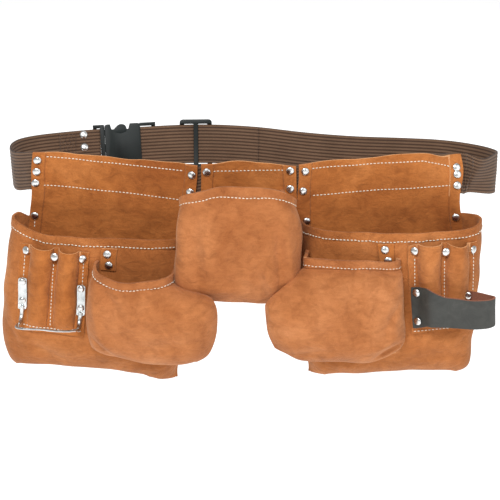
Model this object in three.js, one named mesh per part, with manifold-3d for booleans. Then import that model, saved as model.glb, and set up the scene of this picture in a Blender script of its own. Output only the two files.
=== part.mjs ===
// Carpenter nail apron: suede pockets on a woven belt, with a bracket and a loop for hammers.
// Millimetres, +Z up, +X to the wearer's left as seen from the front, the front towards -Y.
// The origin is the middle of the belt's loop, at the height of the middle of the webbing.
import * as THREE from 'three';
import { mergeVertices } from 'three/addons/utils/BufferGeometryUtils.js';
import Module from 'manifold-3d';

const wasm = await Module();
wasm.setup();

// Leather
const suede = 2.2;            // wall of one layer of suede
const foldExtra = 2.4;        // how far a folded hem stands in front of its panel
const foldWidth = 15.5;       // width of a panel's folded hem
const foldStep = 1.2;         // slope at the hem's cut edge
const rimHem = 11;            // height of the turned hem at a pocket's mouth
const rimExtra = 1.4;         // how far that hem stands out of the pocket's wall
const seatGap = 0.35;         // clearance between pieces that are sewn or riveted together
const drapeGap = 1.1;         // clearance where one curved sheet lies on another

// Panels
const sidePanelWidth = 208;
const sidePanelHeight = 280;
const centrePanelWidth = 118;
const centrePanelHeight = 140;
const panelBow = 5;           // how far the middle of a side panel lies behind its edges
const outerDrop = 4;          // how much lower the outer ends of the side panels hang
const curlAngle = 24;         // degrees that the right panel's outer top corner leans back
const curlStart = 46;         // where that lean starts, from the panel's middle
const twistGap = 1.8;         // extra clearance where leather and webbing twist together
const curlHeight = 52;        // height of the band that leans back
const centreShift = -0.8;     // X of the centre panel's middle
const leftSeam = 3.2;         // open seams between the centre panel and the side panels
const rightSeam = 3;
const sideFront = -53;        // Y of the side panels' backs
const centreFront = -62.4;
const leftTopAt = 29.8;       // heights of the panels' top edges
const centreTopAt = 23.5;
const rightTopAt = 28.8;

// Belt
const beltWidth = 50.8;
const webbing = 2.2;
const beltTopInset = 1.6;     // how far the webbing's edge lies below the leather's top edge
const beltStep = 13;          // spacing of the sections along the free belt
const beltReach = 49;         // how far the belt's ends stand out past the side panels
const beltBack = 75;          // Y of the furthest place at the back
const beltBackTop = 31;       // height of the top edge there
const doubledLength = 44;     // webbing turned back and sewn at the left buckle half

// Buckle and adjuster
const buckleLength = 81;
const buckleHeight = 61;
const buckleDepth = 11;
const buckleAt = -162;        // X of the buckle's middle
const femaleBodyLength = 46;
const shellWall = 2.3;
const cutFrom = 20;           // middle of the side cuts, from the body's open end
const cutWidth = 13;
const cutDepth = 12.5;
const armReach = 16;          // the prongs: their length past the cuts' middle, and their height
const armHeight = 12;
const shellRadius = 4;
const guideHeight = 10;       // the prong in the middle of the male half
const endFrameLength = 20;
const barWidth = 5;
const barDepth = 3;
const plasticGap = 0.4;
const plasticSeat = 0.3;      // further clearance of the plastic round the webbing's edges and faces
const adjusterAt = -69.5;     // X of the adjuster's middle
const adjusterLength = 42;
const adjusterHeight = 64;
const adjusterBar = 6;
const adjusterDepth = 3;
const adjusterRadius = 5;
const tailEndAt = 13;         // X of the free end of the webbing

// Pockets
const mainTop = 84;           // height of the left main pocket's mouth below the panel's top edge
const mainDip = 4;            // how far a pocket's mouth sags or rises from its corners
const floorLift = 0.5;        // height of a main pocket's floor above its panel's lower edge
const mainDepth = 66;
const rightMainTop = 76;
const smallDepth = 54;
const smallInset = 14.6;      // from a side panel's inner edge to its small pouch
const smallInner = sidePanelWidth / 2 - smallInset;
const leftSmallAway = 11;      // from the left sleeve's right edge to its small pouch
const rightSmallAway = 16;     // from the right small pouch to its sleeve
const smallReach = 12;        // how far past that outer edge a pouch still lies on its pocket
const leftSmallDip = 8;
const rightSmallDip = 7;
const hemStep = 0.6;          // height of the step below a turned hem
const leftSmallTop = 113;
const leftSmallHeight = 125;
const rightSmallTop = 101;
const rightSmallHeight = 134;
const centreTop = 4;
const centreHeight = 150;
const centreDepth = 88;
const centreHalfWidth = 78;
const centreAttach = 38;
const centreFloorRise = 26;
const centreDip = 12;

// Tool sleeves
const leftSleeveInset = 2;    // from the left panel's outer edge to its sleeve
const rightSleeveInset = 80;  // from the right panel's outer edge to the sleeve's near edge
const leftSleeveAt = leftSleeveInset - sidePanelWidth / 2;
const rightSleeveAt = sidePanelWidth / 2 - rightSleeveInset;
const sleeveTop = 103;
const rightSleeveTop = 96;
const sleeveHeight = 112;
const sleeveWall = 1.8;
const sleeveBulge = 15;
const flangeWidth = 13;
const channelWidth = 26;
const valleyWidth = 8;        // flat strip between the two channels
const sleeveWidth = 2 * (flangeWidth + channelWidth) + valleyWidth;
const leftSmallOuter = leftSleeveAt + sleeveWidth + leftSmallAway;
const rightSmallOuter = rightSleeveAt - rightSmallAway;

// Small fittings
const rivetRadius = 4.9;
const rivetHeight = 2.1;
const rivetSeat = 0.25;       // further clearance of a flat rivet on curved leather
const tabWidth = 20;
const tabHeight = 27;
const leftTabIn = 4;          // places of the tabs, from the small pouches' outer mouth corners
const leftTabRise = 16;
const rightTabIn = 23;
const rightTabRise = 13;
const rodRadius = 2.5;
const rodBend = 9;
const bracketReach = 34;
const bracketDrop = 23;       // from the tabs' lower ends to the rod's low bends
const bracketTabWidth = 9;
const bracketTabHeight = 30;
const bracketTabDepth = 3;
const bracketTop = 42;        // below the sleeve's top edge
const bracketInset = 1.5;     // from the sleeve's side edges
const bracketSpan = sleeveWidth - 2 * bracketInset - bracketTabWidth;
const bracketSeat = 0.84;     // clearance of the stiff tabs over the flanges
const loopWall = 3;
const loopHeight = 40;
const loopEndHeight = 55;
const loopReach = 30;
const loopSeatReach = 5;      // how far along the strap its seat is felt for
const loopSeat = 0.8;         // clearance of the stiff strap over the sleeve's curved flanges

// Places of the three panels: the middle of each top edge, its turn about Z and its tilt in degrees
const sideSize = { width: sidePanelWidth, height: sidePanelHeight };
const centreSize = { width: centrePanelWidth, height: centrePanelHeight };
const leftAt = centreShift - (centrePanelWidth + sidePanelWidth) / 2 - leftSeam;
const rightAt = centreShift + (centrePanelWidth + sidePanelWidth) / 2 + rightSeam;
const panels = {
  left: { x: leftAt, y: sideFront, z: leftTopAt, yaw: -5, roll: 4.6, ...sideSize },
  centre: { x: centreShift, y: centreFront, z: centreTopAt, yaw: 0, roll: 0, ...centreSize },
  right: { x: rightAt, y: sideFront, z: rightTopAt, yaw: 5, roll: -1.8, ...sideSize },
};

// Finishes
const finishes = {
  suede: { color: 0xb9753f, roughness: 0.95, metalness: 0 },
  webbing: { color: 0x6e5545, roughness: 0.85, metalness: 0 },
  plastic: { color: 0x262c2c, roughness: 0.45, metalness: 0 },
  nickel: { color: 0xd8d8d6, roughness: 0.25, metalness: 1 },
  blackLeather: { color: 0x45433f, roughness: 0.7, metalness: 0 },
};

const apron = new THREE.Group();
const rad = THREE.MathUtils.degToRad;
const lerp = THREE.MathUtils.lerp;

// Closed geometry helpers

function geometryOf(vertices, triangles) {
  const loose = new THREE.BufferGeometry();
  const numbers = vertices.flatMap((p) => [p.x, p.y, p.z]);
  loose.setAttribute('position', new THREE.Float32BufferAttribute(numbers, 3));
  loose.setIndex(triangles.flat());
  return closed(loose);
}

// Merges shared corners, drops slivers without area and turns the faces outwards.
function closed(source) {
  const bare = source.clone();
  bare.deleteAttribute('normal');
  bare.deleteAttribute('uv');
  const merged = mergeVertices(bare, 1e-3);
  const old = merged.getIndex().array;
  const kept = [];
  for (let i = 0; i < old.length; i += 3) {
    const [a, b, c] = [old[i], old[i + 1], old[i + 2]];
    if (a !== b && b !== c && c !== a) {
      kept.push(a, b, c);
    }
  }
  if (signedVolume(merged.getAttribute('position'), kept) < 0) {
    kept.reverse();
  }
  merged.setIndex(kept);
  return merged;
}

function signedVolume(position, index) {
  const corner = [new THREE.Vector3(), new THREE.Vector3(), new THREE.Vector3()];
  let sum = 0;
  for (let i = 0; i < index.length; i += 3) {
    corner.forEach((p, k) => p.fromBufferAttribute(position, index[i + k]));
    sum += corner[0].dot(corner[1].cross(corner[2]));
  }
  return sum / 6;
}

// A wall between two grids of points with the same rows and columns, closed along its four borders.
function wallBetween(front, back) {
  const rows = front.length;
  const columns = front[0].length;
  const foot = rows - 1;
  const last = columns - 1;
  const vertices = [...front.flat(), ...back.flat()];
  const at = (side, row, column) => (side * rows + row) * columns + column;
  const triangles = [];
  const quad = (a, b, c, d) => triangles.push([a, b, c], [a, c, d]);
  for (let row = 0; row < foot; row += 1) {
    for (let column = 0; column < last; column += 1) {
      quad(at(0, row, column), at(0, row, column + 1), at(0, row + 1, column + 1), at(0, row + 1, column));
      quad(at(1, row, column), at(1, row + 1, column), at(1, row + 1, column + 1), at(1, row, column + 1));
    }
    quad(at(0, row, 0), at(0, row + 1, 0), at(1, row + 1, 0), at(1, row, 0));
    quad(at(1, row, last), at(1, row + 1, last), at(0, row + 1, last), at(0, row, last));
  }
  for (let column = 0; column < last; column += 1) {
    quad(at(1, 0, column), at(1, 0, column + 1), at(0, 0, column + 1), at(0, 0, column));
    quad(at(0, foot, column), at(0, foot, column + 1), at(1, foot, column + 1), at(1, foot, column));
  }
  return geometryOf(vertices, triangles);
}

function toSolid(geometry) {
  const mesh = closed(geometry);
  return new wasm.Manifold(new wasm.Mesh({
    numProp: 3,
    vertProperties: new Float32Array(mesh.getAttribute('position').array),
    triVerts: new Uint32Array(mesh.getIndex().array),
  }));
}

function toGeometry(solid) {
  const mesh = solid.getMesh();
  const geometry = new THREE.BufferGeometry();
  geometry.setAttribute('position', new THREE.BufferAttribute(new Float32Array(mesh.vertProperties), 3));
  geometry.setIndex(new THREE.BufferAttribute(new Uint32Array(mesh.triVerts), 1));
  return geometry;
}

function joined(first, ...others) {
  return others.reduce((sum, next) => sum.add(next), first);
}

function without(first, ...others) {
  return others.reduce((rest, next) => rest.subtract(next), first);
}

// A box from its low to its high corner.
function block(x0, x1, y0, y1, z0, z1) {
  const box = new THREE.BoxGeometry(x1 - x0, y1 - y0, z1 - z0);
  box.translate((x0 + x1) / 2, (y0 + y1) / 2, (z0 + z1) / 2);
  return toSolid(box);
}

// An outline in X and Z, drawn out along Y.
function plate(outline, y0, y1) {
  const drawn = new THREE.ExtrudeGeometry(outline, { depth: y1 - y0, bevelEnabled: false, curveSegments: 6 });
  drawn.rotateX(Math.PI / 2);
  drawn.translate(0, y1, 0);
  return toSolid(drawn);
}

function roundedOutline(x0, x1, z0, z1, radius) {
  const shape = new THREE.Shape();
  shape.moveTo(x0 + radius, z0);
  shape.lineTo(x1 - radius, z0);
  shape.quadraticCurveTo(x1, z0, x1, z0 + radius);
  shape.lineTo(x1, z1 - radius);
  shape.quadraticCurveTo(x1, z1, x1 - radius, z1);
  shape.lineTo(x0 + radius, z1);
  shape.quadraticCurveTo(x0, z1, x0, z1 - radius);
  shape.lineTo(x0, z0 + radius);
  shape.quadraticCurveTo(x0, z0, x0 + radius, z0);
  return shape;
}

function addMesh(parent, name, geometry, finish) {
  const mesh = new THREE.Mesh(geometry, new THREE.MeshStandardMaterial(finishes[finish]));
  mesh.name = name;
  parent.add(mesh);
  return mesh;
}

// Panel frames: each side's pieces are modelled flat, with the front towards -Y, and then draped

const groups = {};
for (const [side, panel] of Object.entries(panels)) {
  const group = new THREE.Group();
  group.position.set(panel.x, panel.y, panel.z);
  group.rotation.set(0, rad(panel.roll), rad(panel.yaw), 'ZYX');
  group.updateMatrixWorld(true);
  apron.add(group);
  groups[side] = group;
}

// Moves a flat point to where the hanging leather has it: the bow of the panel, and the curled corner.
function drape(side, p) {
  const q = p.clone();
  if (side === 'centre') {
    return q;
  }
  const share = THREE.MathUtils.clamp(q.x / (sidePanelWidth / 2), -1, 1);
  const outward = side === 'left' ? -share : share;
  q.y += panelBow * (1 - share * share);
  q.z -= outerDrop * Math.max(0, outward) ** 2 * THREE.MathUtils.clamp(1 + q.z / mainTop, 0, 1);
  const above = q.z + curlHeight;
  if (side === 'right' && q.x > curlStart && above > 0) {
    const reach = THREE.MathUtils.smoothstep(q.x, curlStart, sidePanelWidth / 2);
    const lean = rad(curlAngle) * reach;
    q.y += above * Math.sin(lean);
    q.z = above * Math.cos(lean) - curlHeight;
  }
  return q;
}

function draped(side, geometry) {
  const position = geometry.getAttribute('position');
  const p = new THREE.Vector3();
  for (let i = 0; i < position.count; i += 1) {
    const q = drape(side, p.fromBufferAttribute(position, i));
    position.setXYZ(i, q.x, q.y, q.z);
  }
  return geometry;
}

function evenly(from, to, count) {
  return Array.from({ length: count + 1 }, (unused, i) => lerp(from, to, i / count));
}

// Panels: one sheet each, with its side edges, and on the side panels its lower edge, folded to the front

function panelColumns(panel) {
  const half = panel.width / 2;
  const inner = half - foldWidth;
  const middle = evenly(-inner + foldStep, inner - foldStep, 10);
  return [-half, -(half + inner) / 2, -inner, ...middle, inner, (half + inner) / 2, half];
}

function addPanel(side, name, hasLowerFold) {
  const panel = panels[side];
  const half = panel.width / 2;
  const columns = panelColumns(panel);
  const lowerFold = panel.height - foldWidth;
  const lowerRows = hasLowerFold ? [lowerFold - foldStep, lowerFold, panel.height] : [panel.height];
  const upperRows = evenly(0, curlHeight, 2);
  const middleRows = evenly(curlHeight, lowerFold - foldStep, hasLowerFold ? 5 : 3).slice(1, -1);
  const rows = [...upperRows, ...middleRows, ...lowerRows];
  const isFold = (x, down) => Math.abs(x) >= half - foldWidth || (hasLowerFold && down >= lowerFold);
  const front = rows.map((down) => columns.map((x) => {
    const out = suede + (isFold(x, down) ? foldExtra : 0);
    return new THREE.Vector3(x, -out, -down);
  }));
  const back = rows.map((down) => columns.map((x) => new THREE.Vector3(x, 0, -down)));
  addMesh(groups[side], name, draped(side, wallBetween(front, back)), 'suede');
}

addPanel('left', 'left_back_panel', true);
addPanel('centre', 'centre_panel', false);
addPanel('right', 'right_back_panel', true);

// Bags: a wall that starts on its carrier, goes round the front and ends on the carrier, with a floor.
// Each station has its share of the way from the bag's left to its right side, its share of the depth,
// and its share of the mouth's dip. Each section has its share of the height, and its sides and depth,
// with the sides counted from two named places.

const bagColumns = 20;
const floorRows = 2;

function planOf(bag, section, base) {
  const left = bag.leftFrom + section.left * bag.halfWidth;
  const right = bag.rightFrom + section.right * bag.halfWidth;
  const depth = section.out * bag.depth;
  const points = bag.stations.map((s) => {
    const x = lerp(left, right, s.across);
    return new THREE.Vector3(x, -(base + s.out * depth), s.dip);
  });
  points.unshift(new THREE.Vector3(bag.attachLeft, -base, bag.stations[0].dip));
  points.push(new THREE.Vector3(bag.attachRight, -base, bag.stations.at(-1).dip));
  return new THREE.CatmullRomCurve3(points, false, 'centripetal').getPoints(bagColumns);
}

// Moves a plan outwards by a distance, and its two ends sideways only, so that they stay on the carrier.
function widened(plan, distance) {
  return plan.map((p, i) => {
    if (i === 0 || i === plan.length - 1) {
      return new THREE.Vector3(p.x + (i === 0 ? -distance : distance), p.y, p.z);
    }
    const along = new THREE.Vector3().subVectors(plan[i + 1], plan[i - 1]).setZ(0).normalize();
    return new THREE.Vector3(p.x + along.y * distance, p.y - along.x * distance, p.z);
  });
}

// Both grids of a bag, outer first, each a list of rows from the mouth to the floor's back edge.
function bagGrids(bag) {
  const hemShare = rimHem / bag.height;
  const plain = bag.sections.filter((s) => s.down > hemShare);
  const top = bag.sections[0];
  const rows = [
    { ...top, down: 0, extra: rimExtra },
    { ...top, down: hemShare, extra: rimExtra },
    { ...top, down: hemShare + hemStep / bag.height, extra: 0 },
    ...plain.map((s) => ({ ...s, extra: 0 })),
  ];
  const isEnd = (i) => i === 0 || i === bagColumns;
  const placed = (plan, row, up) => plan.map((p, i) => {
    const dip = p.z * bag.dip * (1 - row.down) ** 2;
    const z = -(bag.top + row.down * bag.height) - dip + up;
    const seat = bag.carrier(p.x, z);
    return new THREE.Vector3(p.x, isEnd(i) ? seat : Math.min(p.y, seat), z);
  });
  const outer = [];
  const inner = [];
  for (const row of rows) {
    const plan = planOf(bag, row, bag.base);
    outer.push(placed(widened(plan, row.extra), row, 0));
    inner.push(placed(widened(plan, -suede), row, row === rows.at(-1) ? suede : 0));
  }
  const addFloor = (grid, inset) => {
    const edge = grid.at(-1);
    for (const share of evenly(0, 1, floorRows).slice(1)) {
      grid.push(edge.map((p, i) => {
        const seatX = lerp(bag.attachLeft + inset, bag.attachRight - inset, i / bagColumns);
        const q = new THREE.Vector3(lerp(p.x, seatX, share), 0, p.z + bag.floorRise * share);
        q.y = lerp(p.y, bag.carrier(q.x, q.z), share);
        return isEnd(i) ? p.clone() : q;
      }));
    }
  };
  addFloor(outer, 0);
  addFloor(inner, suede);
  return { outer, inner };
}

function addBag(side, name, bag) {
  const grids = bagGrids(bag);
  addMesh(groups[side], name, draped(side, wallBetween(grids.outer, grids.inner)), 'suede');
  return grids;
}

// The carrier of a bag that is sewn to a panel is the panel's folded hem or its front face.
const onFold = () => -(suede + foldExtra + seatGap);
const onPanel = () => -(suede + seatGap);

const mainStations = [
  { across: 0.0, out: 0.42, dip: 0.5 },
  { across: 0.06, out: 0.84, dip: 0.9 },
  { across: 0.25, out: 1.0, dip: 1.0 },
  { across: 0.5, out: 1.02, dip: 0.3 },
  { across: 0.75, out: 0.95, dip: -0.5 },
  { across: 0.93, out: 0.72, dip: -0.6 },
  { across: 1.0, out: 0.36, dip: -0.4 },
];

const leftMainSections = [
  { down: 0.0, left: -1.14, right: 0.96, out: 0.92 },
  { down: 0.15, left: -1.19, right: 1.0, out: 0.97 },
  { down: 0.35, left: -1.2, right: 1.02, out: 1.0 },
  { down: 0.55, left: -1.22, right: 1.03, out: 1.05 },
  { down: 0.72, left: -1.24, right: 1.02, out: 1.04 },
  { down: 0.84, left: -1.2, right: 0.99, out: 0.94 },
  { down: 0.93, left: -1.14, right: 0.95, out: 0.76 },
  { down: 1.0, left: -1.06, right: 0.9, out: 0.5 },
];

const rightMainSections = [
  { down: 0.0, left: -0.96, right: 1.15, out: 0.92 },
  { down: 0.15, left: -1.0, right: 1.15, out: 0.97 },
  { down: 0.35, left: -1.02, right: 1.13, out: 1.0 },
  { down: 0.55, left: -1.03, right: 1.11, out: 1.04 },
  { down: 0.74, left: -1.02, right: 1.09, out: 1.02 },
  { down: 0.87, left: -1.0, right: 1.03, out: 0.92 },
  { down: 0.95, left: -0.97, right: 0.99, out: 0.72 },
  { down: 1.0, left: -0.92, right: 0.95, out: 0.5 },
];

function mirrored(stations) {
  return stations.map((s) => ({ ...s, across: 1 - s.across })).reverse();
}

const sideAttach = sidePanelWidth / 2 - seatGap;
const mainBag = {
  halfWidth: sidePanelWidth / 2,
  leftFrom: 0,
  rightFrom: 0,
  depth: mainDepth,
  base: suede + foldExtra + seatGap,
  carrier: onFold,
  attachLeft: -sideAttach,
  attachRight: sideAttach,
  dip: mainDip,
  floorRise: 0,
};

const leftMainBag = {
  ...mainBag,
  top: mainTop,
  height: sidePanelHeight - floorLift - mainTop,
  stations: mainStations,
  sections: leftMainSections,
};
const rightMainBag = {
  ...mainBag,
  top: rightMainTop,
  height: sidePanelHeight - floorLift - rightMainTop,
  stations: mirrored(mainStations),
  sections: rightMainSections,
};
const leftMain = addBag('left', 'left_main_pocket', leftMainBag);
const rightMain = addBag('right', 'right_main_pocket', rightMainBag);

// The front of a pocket at a place on it, found in the pocket's own facets.
function frontOf(grid, x, z) {
  let nearest = Infinity;
  const test = (a, b, c) => {
    const area = (b.x - a.x) * (c.z - a.z) - (c.x - a.x) * (b.z - a.z);
    if (Math.abs(area) < 1e-9) {
      return;
    }
    const s = ((x - a.x) * (c.z - a.z) - (c.x - a.x) * (z - a.z)) / area;
    const t = ((b.x - a.x) * (z - a.z) - (x - a.x) * (b.z - a.z)) / area;
    if (s > -1e-6 && t > -1e-6 && s + t < 1 + 1e-6) {
      nearest = Math.min(nearest, a.y + s * (b.y - a.y) + t * (c.y - a.y));
    }
  };
  for (let row = 0; row + 1 < grid.length; row += 1) {
    for (let column = 0; column + 1 < grid[row].length; column += 1) {
      const [a, b] = [grid[row][column], grid[row][column + 1]];
      const [c, d] = [grid[row + 1][column + 1], grid[row + 1][column]];
      test(a, b, c);
      test(a, c, d);
    }
  }
  return nearest;
}

// Small pouches: bags on the fronts of the main pockets, wide at the middle of the apron

const leftSmallStations = [
  { across: 0.0, out: 0.45, dip: 0.0 },
  { across: 0.07, out: 0.85, dip: 0.5 },
  { across: 0.28, out: 1.0, dip: 1.0 },
  { across: 0.5, out: 1.02, dip: 0.8 },
  { across: 0.72, out: 0.95, dip: 0.3 },
  { across: 0.92, out: 0.74, dip: 0.0 },
  { across: 1.0, out: 0.36, dip: 0.0 },
];

const leftSmallSections = [
  { down: 0.0, left: -0.012, right: 0.86, out: 0.84 },
  { down: 0.14, left: -0.052, right: 0.98, out: 0.95 },
  { down: 0.25, left: -0.072, right: 1.3, out: 1.02 },
  { down: 0.4, left: -0.082, right: 1.44, out: 1.06 },
  { down: 0.62, left: -0.082, right: 1.45, out: 1.06 },
  { down: 0.8, left: -0.052, right: 1.4, out: 0.98 },
  { down: 0.92, left: 0.028, right: 1.24, out: 0.74 },
  { down: 1.0, left: 0.188, right: 0.98, out: 0.4 },
];

const rightSmallStations = [
  { across: 0.0, out: 0.38, dip: -0.4 },
  { across: 0.08, out: 0.76, dip: -0.4 },
  { across: 0.28, out: 0.96, dip: 0.0 },
  { across: 0.5, out: 1.03, dip: 0.3 },
  { across: 0.72, out: 1.0, dip: 0.6 },
  { across: 0.93, out: 0.84, dip: 0.9 },
  { across: 1.0, out: 0.42, dip: 0.9 },
];

const rightSmallSections = [
  { down: 0.0, left: -0.9, right: 0.043, out: 0.36 },
  { down: 0.12, left: -1.02, right: 0.053, out: 0.6 },
  { down: 0.24, left: -1.3, right: 0.063, out: 0.84 },
  { down: 0.38, left: -1.5, right: 0.073, out: 1.02 },
  { down: 0.62, left: -1.52, right: 0.073, out: 1.06 },
  { down: 0.8, left: -1.42, right: 0.043, out: 0.98 },
  { down: 0.92, left: -1.22, right: -0.047, out: 0.74 },
  { down: 1.0, left: -0.98, right: -0.217, out: 0.4 },
];

function onPocket(grid, from, to, gap) {
  return (x, z) => frontOf(grid, THREE.MathUtils.clamp(x, from, to), z) - gap;
}

const smallBag = {
  halfWidth: sidePanelWidth / 2,
  depth: smallDepth,
  base: mainDepth,
  floorRise: 0,
};
addBag('left', 'left_small_pouch', {
  ...smallBag,
  leftFrom: leftSmallOuter,
  rightFrom: 0,
  carrier: onPocket(leftMain.outer, leftSmallOuter - smallReach, smallInner + suede, drapeGap),
  attachLeft: leftSmallOuter,
  attachRight: smallInner,
  top: leftSmallTop,
  height: leftSmallHeight,
  dip: leftSmallDip,
  stations: leftSmallStations,
  sections: leftSmallSections,
});
addBag('right', 'right_small_pouch', {
  ...smallBag,
  leftFrom: 0,
  rightFrom: rightSmallOuter,
  carrier: onPocket(rightMain.outer, -smallInner - suede, rightSmallOuter + smallReach, drapeGap),
  attachLeft: -smallInner,
  attachRight: rightSmallOuter,
  top: rightSmallTop,
  height: rightSmallHeight,
  dip: rightSmallDip,
  stations: rightSmallStations,
  sections: rightSmallSections,
});

// Centre pouch: flares from the narrow centre panel and leans to the left

const centreStations = [
  { across: 0.1, out: 0.35, dip: 2.5 },
  { across: 0.0, out: 0.76, dip: 1.5 },
  { across: 0.08, out: 0.95, dip: 0.6 },
  { across: 0.3, out: 1.0, dip: -0.1 },
  { across: 0.6, out: 1.01, dip: -0.3 },
  { across: 0.88, out: 0.97, dip: 0.2 },
  { across: 1.0, out: 0.78, dip: 1.5 },
  { across: 0.94, out: 0.35, dip: 2.5 },
];

const centreSections = [
  { down: 0.0, left: -1.08, right: 0.72, out: 0.86 },
  { down: 0.18, left: -1.12, right: 0.77, out: 0.94 },
  { down: 0.38, left: -1.15, right: 0.83, out: 1.0 },
  { down: 0.58, left: -1.17, right: 0.85, out: 1.03 },
  { down: 0.76, left: -1.16, right: 0.8, out: 1.0 },
  { down: 0.88, left: -1.0, right: 0.66, out: 0.92 },
  { down: 0.96, left: -0.78, right: 0.52, out: 0.8 },
  { down: 1.0, left: -0.62, right: 0.44, out: 0.68 },
];

addBag('centre', 'centre_pouch', {
  halfWidth: centreHalfWidth,
  leftFrom: 0,
  rightFrom: 0,
  depth: centreDepth,
  base: suede + seatGap,
  carrier: onPanel,
  attachLeft: -centreAttach,
  attachRight: centreAttach,
  top: centreTop,
  height: centreHeight,
  dip: centreDip,
  floorRise: centreFloorRise,
  stations: centreStations,
  sections: centreSections,
});

// Tool sleeves: a flange, two round channels with a sewn valley between them, and a flange

function sleevePlan(left) {
  const valley = left + flangeWidth + channelWidth;
  const points = [];
  const channel = (from) => {
    for (const angle of evenly(0, Math.PI, channelSteps)) {
      const x = from + channelWidth * (1 - Math.cos(angle)) / 2;
      points.push({ x, out: sleeveBulge * Math.sin(angle) });
    }
  };
  const flange = (from, to) => evenly(from, to, 4).slice(1, -1).forEach((x) => points.push({ x, out: 0 }));
  points.push({ x: left, out: 0 });
  flange(left, left + flangeWidth);
  channel(left + flangeWidth);
  channel(valley + valleyWidth);
  const right = valley + valleyWidth + channelWidth;
  flange(right, right + flangeWidth);
  points.push({ x: right + flangeWidth, out: 0 });
  return points;
}

const channelSteps = 6;
const sleeveRows = [
  { down: 0.0, bulge: 1.0 },
  { down: 0.25, bulge: 0.96 },
  { down: 0.5, bulge: 0.88 },
  { down: 0.72, bulge: 0.72 },
  { down: 0.88, bulge: 0.42 },
  { down: 0.95, bulge: 0.0 },
  { down: 1.0, bulge: 0.0 },
];

// The sections of a sleeve: those of its own table, and one where the pocket behind it has one.
function sleeveSections(bag, top) {
  const own = sleeveRows.map((row) => row.down);
  const behind = bag.sections.map((s) => (bag.top + s.down * bag.height - top) / sleeveHeight);
  const downs = [...own, ...behind.filter((down) => down > 0 && down < 1)].sort((a, b) => a - b);
  return downs.filter((down, i) => i === 0 || down - downs[i - 1] > 0.01).map((down) => {
    const next = Math.max(1, sleeveRows.findIndex((row) => row.down >= down));
    const [above, below] = [sleeveRows[next - 1], sleeveRows[next]];
    return { down, bulge: lerp(above.bulge, below.bulge, (down - above.down) / (below.down - above.down)) };
  });
}

function sleeveGrids(bag, carrierGrid, left, top) {
  const plan = sleevePlan(left);
  const back = sleeveSections(bag, top).map((row) => plan.map((p) => {
    const z = -(top + row.down * sleeveHeight);
    return new THREE.Vector3(p.x, frontOf(carrierGrid, p.x, z) - drapeGap - p.out * row.bulge, z);
  }));
  const front = back.map((row) => row.map((p, i) => {
    const before = row[Math.max(i - 1, 0)];
    const after = row[Math.min(i + 1, row.length - 1)];
    const along = new THREE.Vector3().subVectors(after, before).setZ(0).normalize();
    return new THREE.Vector3(p.x + along.y * sleeveWall, p.y - along.x * sleeveWall, p.z);
  }));
  return { outer: front, inner: back };
}

function addSleeve(side, bag, carrierGrid, left, top) {
  const grids = sleeveGrids(bag, carrierGrid, left, top);
  addMesh(groups[side], `${side}_tool_sleeve`, draped(side, wallBetween(grids.outer, grids.inner)), 'suede');
  return grids;
}

const leftSleeve = addSleeve('left', leftMainBag, leftMain.outer, leftSleeveAt, sleeveTop);
const rightSleeve = addSleeve('right', rightMainBag, rightMain.outer, rightSleeveAt, rightSleeveTop);

// Tabs at the outer mouth corners of the small pouches

function addTab(side, name, grid, left, top) {
  const columns = evenly(left, left + tabWidth, 2);
  const rows = evenly(top, top + tabHeight, 2);
  const back = rows.map((down) => columns.map((x) => {
    return new THREE.Vector3(x, frontOf(grid, x, -down) - drapeGap, -down);
  }));
  const front = back.map((row) => row.map((p) => new THREE.Vector3(p.x, p.y - suede, p.z)));
  addMesh(groups[side], name, draped(side, wallBetween(front, back)), 'suede');
  return { outer: front, inner: back };
}

const leftTabAt = { x: leftSmallOuter + leftTabIn, down: leftSmallTop - leftTabRise };
const rightTabAt = { x: rightSmallOuter - rightTabIn, down: rightSmallTop - rightTabRise };
const leftTab = addTab('left', 'left_pouch_tab', leftMain.outer, leftTabAt.x, leftTabAt.down);
const rightTab = addTab('right', 'right_pouch_tab', rightMain.outer, rightTabAt.x, rightTabAt.down);

// Rivets: low domes seated on the piece that they hold

function rivetGeometry() {
  const profile = [
    new THREE.Vector2(0, 0),
    new THREE.Vector2(rivetRadius, 0),
    new THREE.Vector2(rivetRadius * 0.78, rivetHeight * 0.72),
    new THREE.Vector2(0, rivetHeight),
  ];
  return closed(new THREE.LatheGeometry(profile, 8));
}

function addRivet(name, foot, outward, parent) {
  const rivet = addMesh(parent, name, rivetGeometry(), 'nickel');
  rivet.position.copy(foot).addScaledVector(outward, seatGap);
  rivet.quaternion.setFromUnitVectors(new THREE.Vector3(0, 1, 0), outward);
  return rivet;
}

// Seats a rivet on a draped surface, given by its depth at each flat place.
function addSurfaceRivet(side, name, at, surface) {
  const reach = rivetRadius;
  const spot = (dx, dz) => {
    const [x, z] = [at.x + dx, at.z + dz];
    return drape(side, new THREE.Vector3(x, surface(x, z), z));
  };
  const across = spot(reach, 0).sub(spot(-reach, 0));
  const upward = spot(0, reach).sub(spot(0, -reach));
  const outward = across.cross(upward).normalize();
  const centre = spot(0, 0);
  const turns = evenly(0, 2 * Math.PI, 24);
  const rim = turns.map((angle) => spot(reach * Math.cos(angle), reach * Math.sin(angle)));
  const proud = Math.max(0, ...rim.map((p) => p.sub(centre).dot(outward)));
  const foot = centre.addScaledVector(outward, proud + rivetSeat);
  addRivet(name, foot, outward, groups[side]);
}

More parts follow.
